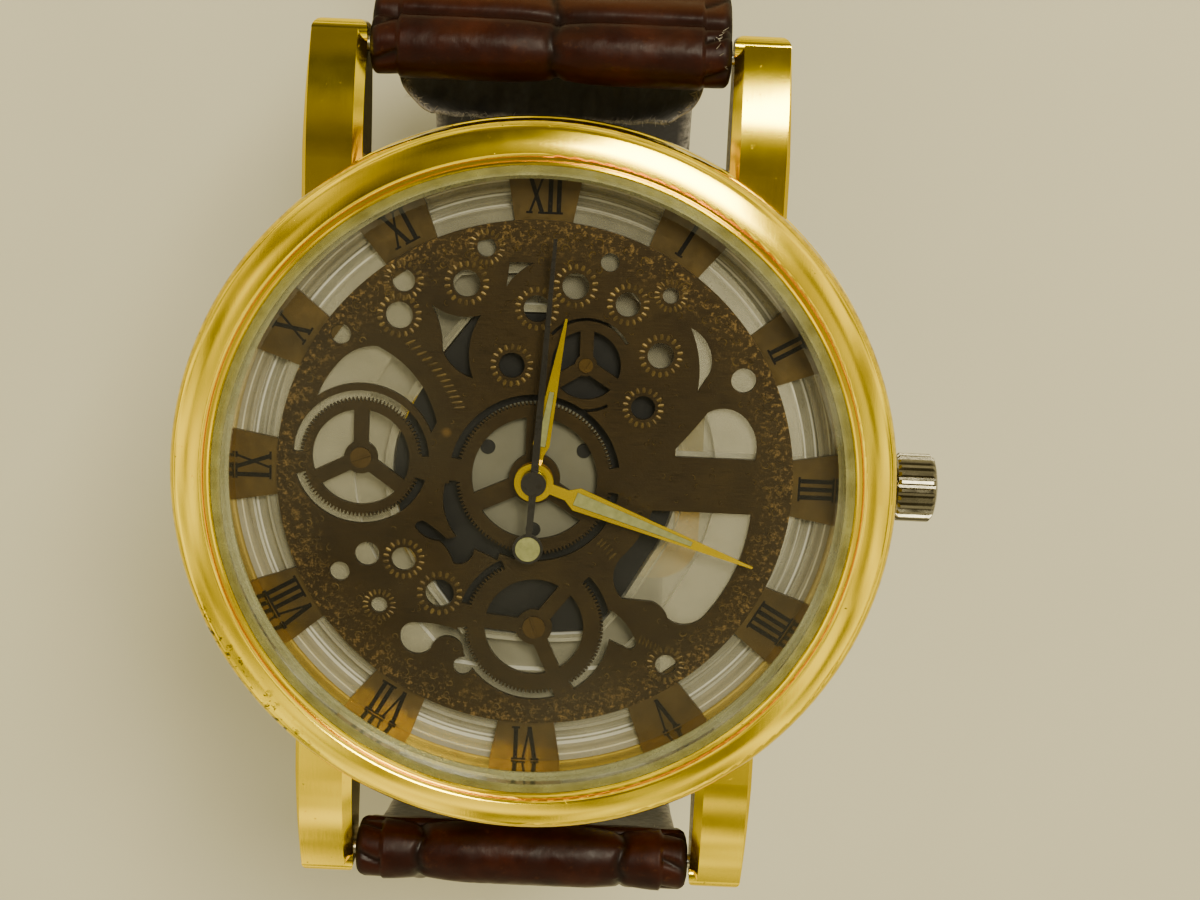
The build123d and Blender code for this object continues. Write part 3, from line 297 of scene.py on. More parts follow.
# ---------------------------------------------------------------- plastics, glass and paint
def clear_crystal(name):
    """Clear glass: its cover is the share of light that it mirrors, and more on its bevel."""
    g = Graph(name)
    fresnel = g.add("ShaderNodeFresnel", {"IOR": 1.5}).outputs[0]
    flank = g.remap(g.upright(), 0.97, 0.6, 0.0, 0.16)
    smudge = g.remap(g.noise(4, 5, 0.6), 0.55, 0.8, 0.0, 0.006)
    cover = g.plus(g.times(fresnel, 0.45), g.plus(flank, smudge))
    g.set(Base_Color=(0.90, 0.93, 0.86, 1), Metallic=1.0, Alpha=cover,
          Roughness=g.uneven(1.2, 3, 0.02, 0.07),
          Normal=g.bump(g.noise(0.3, 2, stretch=(1, 0.1, 1)), 0.0004))
    return g.material


def pale_gasket(name):
    """Translucent yellow-green plastic, through which the gold seat shows."""
    g = Graph(name)
    tone = g.ramp(g.noise(2.2, 4), (0.3, (0.21, 0.19, 0.040)), (0.7, (0.32, 0.30, 0.085)))
    inner = g.remap(g.radius(), 17.55, 17.2)
    tone = g.mix(g.times(inner, 0.7), tone, (0.36, 0.36, 0.20))
    g.set(Base_Color=tone, Roughness=g.uneven(0.8, 3, 0.2, 0.36),
          Alpha=g.uneven(1.1, 4, 0.42, 0.6), Normal=g.bump(g.noise(0.25, 3), 0.004))
    return g.material


def milky_acrylic(name):
    """Clear moulding seen as milky, with painted highlight on its upright walls, a smoky outer band, and
    painted rings of highlight and shade for its moulded steps.
    """
    g = Graph(name)
    # painted highlight: faces that stand up are painted pale, as the lit edges of the clear steps
    walls = g.remap(g.upright(), 0.9, 0.3)
    smoky = g.remap(g.radius(), 16.1, 16.3)
    tone = g.mix(g.noise(1.8, 3), (0.20, 0.188, 0.13), (0.38, 0.362, 0.27))
    tone = g.mix(g.times(smoky, 0.6), tone, (0.30, 0.27, 0.18))
    tone = g.mix(walls, tone, (0.95, 0.94, 0.84))
    # painted highlight and painted shade: pale and dark rings for the lit steps and shaded grooves of the
    # moulding
    for ring_r, half, shade in HOLDER_LIGHT_AND_SHADE_RINGS:
        away = g.calc("ABSOLUTE", g.calc("SUBTRACT", g.radius(), ring_r))
        tone = g.mix(g.times(g.remap(away, half, half * 0.4), 0.75), tone, shade)
    cloud = g.uneven(3.0, 4, 0.46, 0.60)
    g.set(Base_Color=tone, Roughness=g.uneven(0.7, 3, 0.08, 0.22), IOR=1.49,
          Alpha=g.plus(cloud, g.times(walls, 0.3)), Normal=g.bump(g.noise(0.9, 2), 0.01))
    return g.material


def moulded_plastic(name, dark, light, roughness=0.42, sheen=0.0):
    """Moulded plastic with a fine spark-eroded texture."""
    g = Graph(name)
    tone = g.mix(g.noise(1.2, 4), dark, light)
    g.set(Base_Color=tone, Roughness=g.uneven(0.5, 3, roughness, roughness * 1.35),
          Coat_Weight=sheen, Specular_IOR_Level=0.22, Normal=g.bump(g.noise(0.07, 3), 0.002))
    return g.material


def luminous_paint(name):
    """Pale green luminous paint with a fine granular surface."""
    g = Graph(name)
    tone = g.ramp(g.noise(0.35, 5), (0.3, (0.165, 0.17, 0.055)), (0.7, (0.25, 0.255, 0.09)))
    g.set(Base_Color=tone, Roughness=g.uneven(0.1, 3, 0.5, 0.75),
          Normal=g.bump(g.noise(0.05, 3), 0.01))
    return g.material


def printed_ink(name):
    """Black printed ink, slightly worn through."""
    g = Graph(name)
    tone = g.mix(g.remap(g.noise(0.18, 4), 0.58, 0.72), (0.0012, 0.0009, 0.0006), (0.012, 0.008, 0.003))
    g.set(Base_Color=tone, Roughness=0.6, Specular_IOR_Level=0.12, Normal=g.bump(g.noise(0.06, 2), 0.004))
    return g.material


def copper_coil(name):
    """Enamelled copper wire, wound round X, with painted shade between its turns."""
    g = Graph(name)
    turns = g.calc("SINE", g.times(g.axis("X"), 2 * math.pi / (COIL_WIRE * MM)))
    # painted shade: dark where each turn meets the next, as shade in the groove between wires
    tone = g.mix(g.remap(turns, -1, 1), (0.20, 0.065, 0.025), (0.62, 0.27, 0.11))
    g.set(Base_Color=tone, Metallic=0.85, Roughness=g.uneven(0.4, 3, 0.22, 0.38),
          Normal=g.bump(turns, 0.012))
    return g.material


def circuit_laminate(name):
    """Green board with faint copper tracks under the solder mask."""
    g = Graph(name)
    tracks = g.add("ShaderNodeTexBrick", {
        "Vector": g.coords, "Scale": 900.0, "Mortar Size": 0.022, "Brick Width": 0.9, "Row Height": 0.45,
        "Color1": (0.02, 0.11, 0.05, 1), "Color2": (0.025, 0.135, 0.06, 1), "Mortar": (0.22, 0.27, 0.07, 1)})
    tone = g.mix(g.times(g.noise(0.6, 4), 0.4), tracks.outputs[0], (0.01, 0.06, 0.03))
    g.set(Base_Color=tone, Roughness=g.uneven(0.3, 3, 0.25, 0.4),
          Normal=g.bump(tracks.outputs[1], 0.01))
    return g.material


# ---------------------------------------------------------------- leather
def crocodile_leather(name):
    """Glossy reddish-brown leather, darker in its grooves and along its edges, with painted shade along its
    crease, and with paler patches; the one on the short half's roll is wear and painted highlight.
    """
    g = Graph(name)
    groove, edge, pale = g.relief()
    tone = g.ramp(g.noise(3.2, 5, 0.6), (0.28, (0.008, 0.0012, 0.0004)), (0.5, (0.016, 0.0025, 0.0007)),
                  (0.75, (0.034, 0.0062, 0.0014)))
    tone = g.mix(g.times(pale, 0.7), tone, (0.055, 0.017, 0.004))
    rubbed = g.remap(g.noise(0.9, 6, 0.7), 0.60, 0.74)
    tone = g.mix(g.times(rubbed, 0.4), tone, (0.075, 0.026, 0.008))
    tone = g.mix(g.times(groove, 0.85), tone, (0.004, 0.0013, 0.0008))
    tone = g.mix(g.times(edge, 0.8), tone, (0.005, 0.0025, 0.0018))
    pores = g.bump(g.cells(0.32), 0.005)
    creases = g.bump(g.noise(0.7, 5, 0.6, stretch=(1, 0.35, 0.35)), 0.016, 1.0, pores)
    rough = g.plus(g.uneven(1.3, 4, 0.30, 0.48), g.times(edge, 0.25))
    g.set(Base_Color=tone, Roughness=rough, Specular_IOR_Level=0.12, Normal=creases)
    return g.material


def lining_leather(name):
    """Matt black lining with a fine grain and paler rubbed edges; on the loose tongue the pale rim is rubbed
    wear and painted highlight on its upturned edge.
    """
    g = Graph(name)
    edge = g.relief()[1]
    tone = g.mix(g.noise(1.6, 5, 0.65), (0.006, 0.005, 0.0055), (0.024, 0.021, 0.022))
    fuzz = g.times(edge, g.remap(g.noise(0.5, 5, 0.7), 0.35, 0.6))
    tone = g.mix(g.times(fuzz, 0.75), tone, (0.30, 0.27, 0.24))
    pebble = g.bump(g.cells(0.45, "SMOOTH_F1"), 0.035)
    g.set(Base_Color=tone, Roughness=g.uneven(0.4, 4, 0.62, 0.85), Sheen_Weight=0.1,
          Normal=g.bump(g.noise(0.12, 4), 0.012, 1.0, pebble))
    return g.material


def sewing_thread(name):
    """Waxed brown thread with a twist."""
    g = Graph(name)
    twist = g.noise(0.16, 2, stretch=(1, 0.5, 0.5))
    tone = g.mix(g.remap(twist, 0.35, 0.65), (0.022, 0.008, 0.0035), (0.075, 0.031, 0.013))
    g.set(Base_Color=tone, Roughness=g.uneven(0.2, 3, 0.45, 0.65), Normal=g.bump(twist, 0.03))
    return g.material


# ---------------------------------------------------------------- strap shape
# Each half hangs from its spring bar as a chain of tangent arcs: (length, turn in degrees), in mm.
BAR = (23.75, 3.2)
# A half's first lines are the relief lines beside its bar; its crease is painted darker as shade and has a
# paler patch after it; its worn share is a pale patch on its roll, of wear and painted highlight.
HALVES = {
    "12": {"start": (BAR[0], BAR[1]), "heading": -50, "side": 1,
           "stretches": ((6, -20), (12, -30), (15, -46), (10, -34), (14, 0)),
           "outer": (1.85, 2.6, 2.9, 2.3, 1.6, 1.35), "slim_z": -26, "phase": 0.0,
           "first_lines": (0.2, -30, 30), "crease": 0.75, "pale": 0.9, "worn": 0.35},
    "6": {"start": (-BAR[0], BAR[1]), "heading": -108, "side": -1,
          "stretches": ((6, 0), (24, 28), (16, 60), (8, 20), (22, 0), (20, 50), (18, 35)),
          "outer": (1.85, 2.6, 2.9, 2.4, 1.8, 1.5, 1.4, 1.3), "slim_z": -30, "phase": 2.1,
          "first_lines": (40, -6.0, 6.0), "crease": 2.75, "pale": 0.25, "worn": 0.0},
}
WIDE, SLIM = 19.84, 17.9
LINING = 1.0
ROLL_R = 1.85
END_ROLL_R = 1.35
HOLE_R = 0.95
HOLE_PITCH = 6.4
HOLE_COUNT = 7
SKIN = 0.03
STITCH_LINE = 0.845
SCALE_PITCH = 5.2


def reach(half):
    """Length of a strap half along its bend."""
    return sum(length for length, turn in half["stretches"])


def band_frame(half, distance):
    """Place on a strap half's middle line, its heading and its outward direction, in (y, z)."""
    y, z = half["start"]
    heading = math.radians(half["heading"])
    left = max(distance, 0.0)
    for length, turn in half["stretches"]:
        step = min(left, length)
        bend = math.radians(turn) * step / length
        chord = step if bend == 0 else step * math.sin(bend / 2) / (bend / 2)
        y += chord * math.cos(heading + bend / 2)
        z += chord * math.sin(heading + bend / 2)
        heading += bend
        left -= step
        if left <= 0:
            break
    outward = heading + half["side"] * math.pi / 2
    along = np.array([math.cos(heading), math.sin(heading)])
    return np.array([y, z]), along, np.array([math.cos(outward), math.sin(outward)])


def thickness(half, distance):
    """Leather thickness at a distance along a strap half."""
    marks = np.concatenate([[0], np.cumsum([length for length, turn in half["stretches"]])])
    return float(np.interp(distance, marks, half["outer"]))


def half_width(half, distance, place):
    """Half of the strap's width, which narrows with depth below the lugs and at the tip."""
    share = 1.0 if distance > 45 else np.clip(place[1] / half["slim_z"], 0, 1)
    width = WIDE + (SLIM - WIDE) * share
    if half["side"] < 0:
        tip = (distance - (reach(half) - 9.0)) / 9.4
        if tip > 0:
            width *= (1 - tip ** 2.4) ** (1 / 2.2)
    return width / 2


def scales(half, s, x):
    """Crocodile relief at (s, x): height in mm, and how far into a groove, from 0 to 1."""
    phase = half["phase"]
    wave = 0.45 * np.sin(0.55 * x + phase + 1.1 * np.sin(0.23 * s)) + 0.22 * np.sin(1.7 * x + 0.5 * s + phase)
    row = (s - 3.1 + wave) / SCALE_PITCH
    number = np.floor(row)
    to_row = np.minimum(row - number, number + 1 - row) * SCALE_PITCH
    lean = 0.18 * np.sin(1.9 * s + 3 * number)
    jitter = np.sin(number * 12.9898 + phase * 7) * 1.5
    lines = (jitter * 0.6, -6.3 + jitter, 6.1 + jitter * 0.8)
    lines = [np.where(number < 1, first, line) for first, line in zip(half["first_lines"], lines)]
    to_line = np.min([np.abs(x + lean - line) for line in lines], axis=0)
    small = np.abs(np.sin((s + 0.6 * np.sin(x)) * math.pi / 2.6)) * 0.9
    to_line = np.where(np.abs(x) > 8.4, np.minimum(to_line, small), to_line)
    near = np.minimum(to_line, np.where(s < 2.0, 9.0, to_row))
    groove = np.exp(-(near / 0.26) ** 2)
    dome = 1 - np.exp(-(near / 1.5) ** 2)
    wrinkle = 0.012 * np.sin(5.1 * s + 2.3 * np.sin(1.3 * x)) * np.sin(3.3 * x + 0.8 * s)
    return 0.2 * dome - 0.2 * groove + wrinkle * dome - 0.2, groove


def rise(value, start, width):
    """Straight rise from 0 at the start to 1 after a width."""
    return np.clip((value - start) / width, 0, 1)


def smooth_step(value):
    """Smooth rise from 0 to 1."""
    value = np.clip(value, 0, 1)
    return value * value * (3 - 2 * value)


def rounded_edge(across, start, width):
    """Share of the thickness that is left towards a strap's edges, which are rounded."""
    return np.sqrt(np.clip(1 - rise(np.abs(across), start, width) ** 2, 0, 1))


def cross_row(x, place, direction, distance):
    """Row of points across the strap, moved from its middle line by a distance."""
    distance = np.broadcast_to(distance, x.shape)
    return np.column_stack([x, place[0] + direction[0] * distance, place[1] + direction[1] * distance])


def relief_row(x, groove, edge, pale):
    """Relief colours of one row of points."""
    return np.column_stack([np.broadcast_to(value, x.shape) for value in (groove, edge, pale)])


def tube_faces(first, rings, sides):
    """Faces of a closed tube, whose rings of points follow each other."""
    faces = []
    for ring in range(rings - 1):
        a, b = first + ring * sides, first + (ring + 1) * sides
        for k in range(sides):
            after = (k + 1) % sides
            faces.append((a + k, a + after, b + after, b + k))
    faces.append(tuple(first + k for k in reversed(range(sides))))
    faces.append(tuple(first + (rings - 1) * sides + k for k in range(sides)))
    return faces


def new_object(name, data):
    """New object in the scene."""
    obj = bpy.data.objects.new(name, data)
    bpy.context.scene.collection.objects.link(obj)
    return obj


def mesh_object(name, points, faces, relief=None):
    """Object from points in mm, cleaned, with outward normals and an optional relief colour."""
    mesh = bpy.data.meshes.new(name)
    mesh.from_pydata((np.asarray(points) * MM).tolist(), [], faces)
    if relief is not None:
        layer = mesh.color_attributes.new("relief", "FLOAT_COLOR", "POINT")
        colours = np.ones((len(points), 4), np.float32)
        colours[:, :3] = relief
        layer.data.foreach_set("color", colours.ravel())
    work = bmesh.new()
    work.from_mesh(mesh)
    bmesh.ops.remove_doubles(work, verts=work.verts, dist=2e-7)
    bmesh.ops.dissolve_degenerate(work, edges=work.edges, dist=1e-7)
    bmesh.ops.recalc_face_normals(work, faces=work.faces)
    work.to_mesh(mesh)
    work.free()
    mesh.shade_smooth()
    return new_object(name, mesh)


def slab(name, outer, inner, relief_outer, relief_inner):
    """Closed solid between two grids of points, with relief colours for each."""
    outer, inner = np.array(outer), np.array(inner)
    rows, columns = outer.shape[:2]
    top = np.arange(rows * columns).reshape(rows, columns)
    low = top + rows * columns
    faces = []
    for i in range(rows - 1):
        for j in range(columns - 1):
            faces.append((top[i, j], top[i, j + 1], top[i + 1, j + 1], top[i + 1, j]))
            faces.append((low[i, j], low[i + 1, j], low[i + 1, j + 1], low[i, j + 1]))
        for j in (0, columns - 1):
            faces.append((top[i, j], top[i + 1, j], low[i + 1, j], low[i, j]))
    for i in (0, rows - 1):
        for j in range(columns - 1):
            faces.append((top[i, j], low[i, j], low[i, j + 1], top[i, j + 1]))
    points = np.concatenate([outer.reshape(-1, 3), inner.reshape(-1, 3)])
    relief = np.concatenate([relief_outer.reshape(-1, 3), relief_inner.reshape(-1, 3)])
    return mesh_object(name, points, [tuple(int(v) for v in face) for face in faces], relief)


def columns_across(count):
    """Places across the strap from -1 to 1, closer together at the edges."""
    even = np.linspace(-1, 1, count)
    return even + 0.12 * np.sin(even * math.pi)


def leather_layer(name, key, step=0.26, count=121):
    """Padded, embossed leather of one strap half, rolled round its bars."""
    half = HALVES[key]
    total = reach(half)
    across = columns_across(count)
    lip = rounded_edge(across, 0.955, 0.045)
    stations = []
    for turn in np.linspace(math.radians(205), 0, 34, endpoint=False):
        stations.append(("start", turn, -ROLL_R * turn))
    for distance in np.arange(0, total, step):
        stations.append(("band", distance, distance))
    if half["side"] > 0:
        for turn in np.linspace(0, math.pi, 16):
            stations.append(("end", turn, total + END_ROLL_R * turn))
    else:
        stations.append(("band", total, total))
    outer, inner, relief = [], [], []
    for kind, where, s in stations:
        place, along, outward = band_frame(half, {"start": 0, "band": where, "end": total}[kind])
        wide = half_width(half, max(s, 0), place)
        x = across * wide
        height, groove = scales(half, np.full_like(x, s), x)
        padded = smooth_step((s - 2.4) / 2.5) * (1 - smooth_step((s - total + 12) / 8))
        border = smooth_step((np.abs(across) - 0.66) / 0.2)
        channel = np.exp(-((np.abs(across) - STITCH_LINE) / 0.028) ** 2) * padded
        past = s - half["crease"]
        crease = 0.4 * math.exp(-(past / 0.3) ** 2)
        pale = half["pale"] * smooth_step((past - 0.2) / 0.8) * (1 - 0.75 * smooth_step((s - 4.5) / 4.0))
        if kind == "start":
            direction = math.cos(where) * outward - math.sin(where) * along
            thick, padded = ROLL_R - SKIN, 0
        elif kind == "end":
            direction = math.cos(where) * outward + math.sin(where) * along
            thick = END_ROLL_R - SKIN
        else:
            direction = outward
            thick = thickness(half, where) - SKIN
            if half["side"] < 0:
                thick -= 0.12 * smooth_step((s - total + 1.2) / 1.2)
        body = thick * (1 - 0.36 * border * padded) * (0.5 + 0.5 * lip)
        body = np.maximum(body + height * lip - 0.14 * channel - crease, 0.3)
        outer.append(cross_row(x, place, direction, body))
        inner.append(cross_row(x, place, outward, SKIN if kind == "band" and where > 2.3 else 0.0))
        # wear and painted highlight: the worn share paints a pale patch on the short half's roll, standing in
        # also for light on the roll's crest
        worn = half["worn"] * math.exp(-((s + 0.75) / 0.45) ** 2)
        patch = np.clip(pale + worn * (0.5 + 0.5 * np.sin(1.1 * x + 0.6)), 0, 1)
        # painted shade: the crease's share darkens its dip as shade; the grooves and stitch channel are
        # darker leather
        dark = np.clip(groove + 0.5 * channel + 1.2 * crease, 0, 1)
        relief.append(relief_row(x, dark, rise(np.abs(across), 0.94, 0.05), patch))
    relief = np.array(relief)
    inner_relief = relief.copy()
    inner_relief[..., 1] = 1
    return slab(name, outer, inner, relief, inner_relief)


def lining_layer(name, key, step=0.4, count=61):
    """Thin lining under the leather, slightly wavy, with rubbed edges."""
    half = HALVES[key]
    end = reach(half) - (1.6 if half["side"] > 0 else 0.0)
    across = columns_across(count)
    lip = rounded_edge(across, 0.95, 0.05)
    upper, lower, relief = [], [], []
    for s in np.append(np.arange(ROLL_R + 0.4, end, step), end):
        place, along, outward = band_frame(half, s)
        x = across * half_width(half, s, place) * 0.996
        depth = (LINING - 0.06) * (0.55 + 0.45 * lip) + 0.025 * np.sin(1.7 * s + 0.9 * x) * np.sin(0.8 * x)
        lower.append(cross_row(x, place, outward, -depth))
        upper.append(cross_row(x, place, outward, -SKIN))
        tail = np.clip(1 - min(s - ROLL_R, end - s) / 1.2, 0, 1)
        relief.append(relief_row(x, 0, np.maximum(rise(np.abs(across), 0.9, 0.08), tail), 0))
    relief = np.array(relief)
    return slab(name, lower, upper, relief, relief)


def cut(piece, cutter):
    """Take one mesh out of another for good, and drop the cutter."""
    step = piece.modifiers.new("cut", "BOOLEAN")
    step.operation = "DIFFERENCE"
    step.solver = "EXACT"
    step.object = cutter
    bpy.context.view_layer.update()
    graph = bpy.context.evaluated_depsgraph_get()
    result = bpy.data.meshes.new_from_object(piece.evaluated_get(graph))
    piece.modifiers.clear()
    piece.data = result
    piece.data.shade_smooth()
    bpy.data.objects.remove(cutter)


def tang_holes():
    """Cutter for the row of holes in the long strap half."""
    half = HALVES["6"]
    points, faces = [], []
    around = 28
    for number in range(HOLE_COUNT):
        place, along, outward = band_frame(half, reach(half) - 22 - number * HOLE_PITCH)
        first = len(points)
        for offset in (-4.0, 4.0):
            for k in range(around):
                angle = 2 * math.pi * k / around
                spot = place + outward * offset + along * HOLE_R * math.cos(angle)
                points.append((HOLE_R * math.sin(angle), spot[0], spot[1]))
        faces += tube_faces(first, 2, around)
    return mesh_object("cutter", points, faces)


def box_cutter(low, high):
    """Cutter box between two corners in mm."""
    corners = [(x, y, z) for x in (low[0], high[0]) for y in (low[1], high[1]) for z in (low[2], high[2])]
    faces = [(0, 1, 3, 2), (4, 6, 7, 5), (0, 4, 5, 1), (2, 3, 7, 6), (0, 2, 6, 4), (1, 5, 7, 3)]
    return mesh_object("cutter", corners, faces)


def stitches(name, key):
    """Two rows of short sunken stitches along one strap half."""
    half = HALVES[key]
    total = reach(half)
    points, faces = [], []
    rings, sides = 7, 8
    last = total - (9 if half["side"] > 0 else 12)
    for s in np.arange(6.2, last, 2.7):
        for side in (-1, 1):
            first = len(points)
            for ring in range(rings):
                t = ring / (rings - 1)
                place, along, outward = band_frame(half, s + 1.9 * (t - 0.5))
                wide = half_width(half, s, place)
                swell = 0.2 * math.sqrt(max(1 - (2 * t - 1) ** 2, 0.02))
                lift = thickness(half, s) * 0.66 + 0.12 + 0.1 * math.sin(math.pi * t) - 0.1
                for k in range(sides):
                    angle = 2 * math.pi * k / sides
                    spot = place + outward * (lift + swell * math.sin(angle))
                    points.append((side * STITCH_LINE * wide + swell * math.cos(angle), spot[0], spot[1]))
            faces += tube_faces(first, rings, sides)
    return mesh_object(name, points, faces)


def loop_keeper(name, node):
    """Leather loop with a crowned band and rounded corners, in the place of its CAD node."""
    low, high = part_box(node)
    centre = (low + high) / 2 / MM
    half_x, half_z = (high.x - low.x) / 2 / MM, (high.z - low.z) / 2 / MM
    length = (high.y - low.y) / MM
    wall, corner = 0.86, 0.9
    path = []
    for quarter in range(4):
        for k in range(9):
            angle = math.pi / 2 * (quarter + k / 8)
            sx, sz = ((1, 1), (-1, 1), (-1, -1), (1, -1))[quarter]
            path.append((sx * (half_x - corner), sz * (half_z - corner), math.cos(angle), math.sin(angle)))
    profile = []
    for k in range(15):
        t = -1 + 2 * k / 14
        profile.append((t * 0.5 * length, corner - 0.04 - 0.3 * abs(t) ** 6 - 0.05 * t * t))
    for k in range(15):
        t = 1 - 2 * k / 14
        profile.append((t * 0.49 * length, corner - wall + 0.02 + 0.08 * abs(t) ** 6))
    points, faces, relief = [], [], []
    for cx, cz, dx, dz in path:
        for index, (along, lift) in enumerate(profile):
            ripple = 0.03 * math.sin(3.1 * cx + 2.3 * along) if index < 15 else 0
            out = lift + ripple
            points.append((centre.x + cx + dx * out, centre.y + along, centre.z + cz + dz * out))
            edge = min(max((abs(along) / length - 0.42) / 0.06, 0), 1)
            relief.append((0.25 if abs(abs(along) - 0.36 * length) < 0.14 else 0.0, edge, 0))
    count, size = len(path), len(profile)
    for i in range(count):
        for j in range(size):
            a, b = i * size, (i + 1) % count * size
            faces.append((a + j, a + (j + 1) % size, b + (j + 1) % size, b + j))
    piece = mesh_object(name, points, faces, np.array(relief))
    smooth = piece.modifiers.new("smooth", "SUBSURF")
    smooth.levels = smooth.render_levels = 1
    return piece


def add_fibre(points, faces, spots, radius, sides, upright):
    """Add one tapering fibre, whose rings lie level where it stands upright and in (y, z) where not."""
    first = len(points)
    for index, (x, y, z) in enumerate(spots):
        size = radius * (1 - 0.8 * index / (len(spots) - 1))
        for k in range(sides):
            angle = 2 * math.pi * k / sides
            a, b = size * math.cos(angle), size * math.sin(angle)
            points.append((x + a, y + b, z) if upright else (x, y + a, z + b))
    faces.extend(tube_faces(first, len(spots), sides))


def frayed_fibres(name):
    """Pale torn fibres at the right end of the short half's roll."""
    rng = random.Random(12)
    points, faces = [], []
    for fibre in range(46):
        turn = rng.uniform(-0.4, 2.4)
        x = 9.35 + rng.uniform(-0.5, 0.15)
        root = Vector((x, BAR[0] + 1.5 * math.sin(turn), BAR[1] + 1.5 * math.cos(turn)))
        aim = Vector((rng.uniform(0.1, 0.5), rng.uniform(-0.5, 0.4), rng.uniform(-0.2, 0.5)))
        sag = Vector((0, rng.uniform(-0.15, 0.15), -0.12))
        radius = rng.uniform(0.015, 0.04)
        spots = []
        for t in (0, 0.25, 0.5, 0.75, 1):
            spots.append(root + aim * t * rng.uniform(0.75, 0.95) + sag * t * t)
        add_fibre(points, faces, spots, radius, 4, False)
    return mesh_object(name, points, faces)


def loose_lining_flap(name):
    """Torn tongue of lining that hangs, cupped, in the gap at 12 o'clock."""
    across = np.linspace(-1, 1, 61)
    upper, lower, relief = [], [], []
    for t in np.linspace(0, 1, 29):
        y = 22.15 - 2.6 * t
        taper = 1 - 0.22 * t ** 2.5
        x = across * 8.6 * taper
        edge = np.abs(across) ** 2.6
        z = -3.6 + 4.9 * edge - 0.9 * t * (1 - edge) + 0.09 * np.sin(2.3 * x + 3 * t) + 0.06 * np.sin(5.9 * x)
        back = y + 0.5 * edge + 0.05 * np.sin(3.7 * x)
        # the pale rim is rubbed wear and painted highlight where the upturned edge catches the light
        rim = np.maximum(rise(np.abs(across), 0.93, 0.07), rise(t, 0.9, 0.1))
        thick = 0.55 * np.sqrt(np.clip(1 - rim ** 2 * 0.9, 0, 1))
        upper.append(np.column_stack([x, back, z]))
        lower.append(np.column_stack([x, back - 0.15, z - thick]))
        relief.append(relief_row(x, 0, rim, 0))
    relief = np.array(relief)
    outside = relief.copy()
    outside[..., 2] = 0.8
    return slab(name, upper, lower, relief, outside)


def fold_over_flap(name):
    """End of the long half's leather, folded back against its inner face and worn at the end."""
    half = HALVES["6"]
    across = columns_across(91)
    lip = rounded_edge(across, 0.95, 0.05)
    outer, inner, relief = [], [], []
    for s in np.linspace(0.1, 5.8, 26):
        place, along, outward = band_frame(half, s)
        x = across * half_width(half, s, place) * 0.992
        tail = rise(s, 4.9, 0.9)
        near = 1.08 + 0.02 * np.sin(1.3 * x)
        far = 1.85 - 0.4 * s / 5.8 - 0.22 * tail ** 2 + 0.04 * np.sin(1.9 * x + s) * np.sin(2.2 * s)
        far = near + (far - near) * (0.35 + 0.65 * lip)
        outer.append(cross_row(x, place, outward, -far))
        inner.append(cross_row(x, place, outward, -near))
        groove = np.exp(-(((s + 0.3 * np.sin(0.6 * x)) % 2.9 - 1.4) / 0.2) ** 2)
        relief.append(relief_row(x, 0.7 * groove, rise(np.abs(across), 0.94, 0.05), tail))
    relief = np.array(relief)
    return slab(name, outer, inner, relief, relief)


def fuzz(name, seed, roots, length, radius):
    """Short torn fibres that stand up from a row of roots in mm."""
    rng = random.Random(seed)
    points, faces = [], []
    for root in roots:
        aim = Vector((rng.uniform(-0.5, 0.5), rng.uniform(-0.6, 0.2), rng.uniform(-0.5, 0.8)))
        aim = aim.normalized() * length * rng.uniform(0.4, 1.0)
        curl = Vector((rng.uniform(-0.15, 0.15), rng.uniform(-0.15, 0.15), 0))
        spots = [Vector(root) + aim * t + curl * t * t for t in (0, 1 / 3, 2 / 3, 1)]
        add_fibre(points, faces, spots, radius, 3, True)
    return mesh_object(name, points, faces)


def lining_rim(rng):
    """Random points in mm along the rim of the loose tongue of lining."""
    rim = []
    for k in range(150):
        across = rng.uniform(-1, 1)
        bow = abs(across) ** 2.6
        rim.append((across * 6.5, 19.6 + 0.5 * bow, -4.4 + 5.6 * bow))
    for side in (-1, 1):
        for k in range(40):
            t = rng.random()
            rim.append((side * 8.3 * (1 - 0.22 * t ** 2.5), 22.6 - 2.6 * t, 1.2))
    return rim


def folded_end(rng):
    """Random points in mm along the worn end of the folded leather."""
    place, along, outward = band_frame(HALVES["6"], 5.75)
    roots = []
    for k in range(220):
        spot = place - outward * rng.uniform(1.1, 1.3)
        roots.append((rng.uniform(-9.2, 9.2), spot[0], spot[1]))
    return roots


# ---------------------------------------------------------------- dial ornament
DASHED_HOLES = [
    (-3.1, 13.0, 0.53), (-4.15, 10.95, 0.76), (-7.65, 10.95, 0.63), (-7.85, 9.0, 0.76), (-1.5, 6.45, 0.72),
    (-0.2, 9.7, 0.75), (1.9, 11.05, 0.75), (4.85, 10.15, 0.70), (7.2, 10.75, 0.46), (6.8, 7.35, 0.74),
    (5.95, 4.35, 0.68), (-7.3, -5.05, 0.70), (-5.2, -7.0, 0.82), (-8.65, -7.85, 0.47), (7.95, -10.7, 0.6)]
RAISE = (0.002, 0.028)


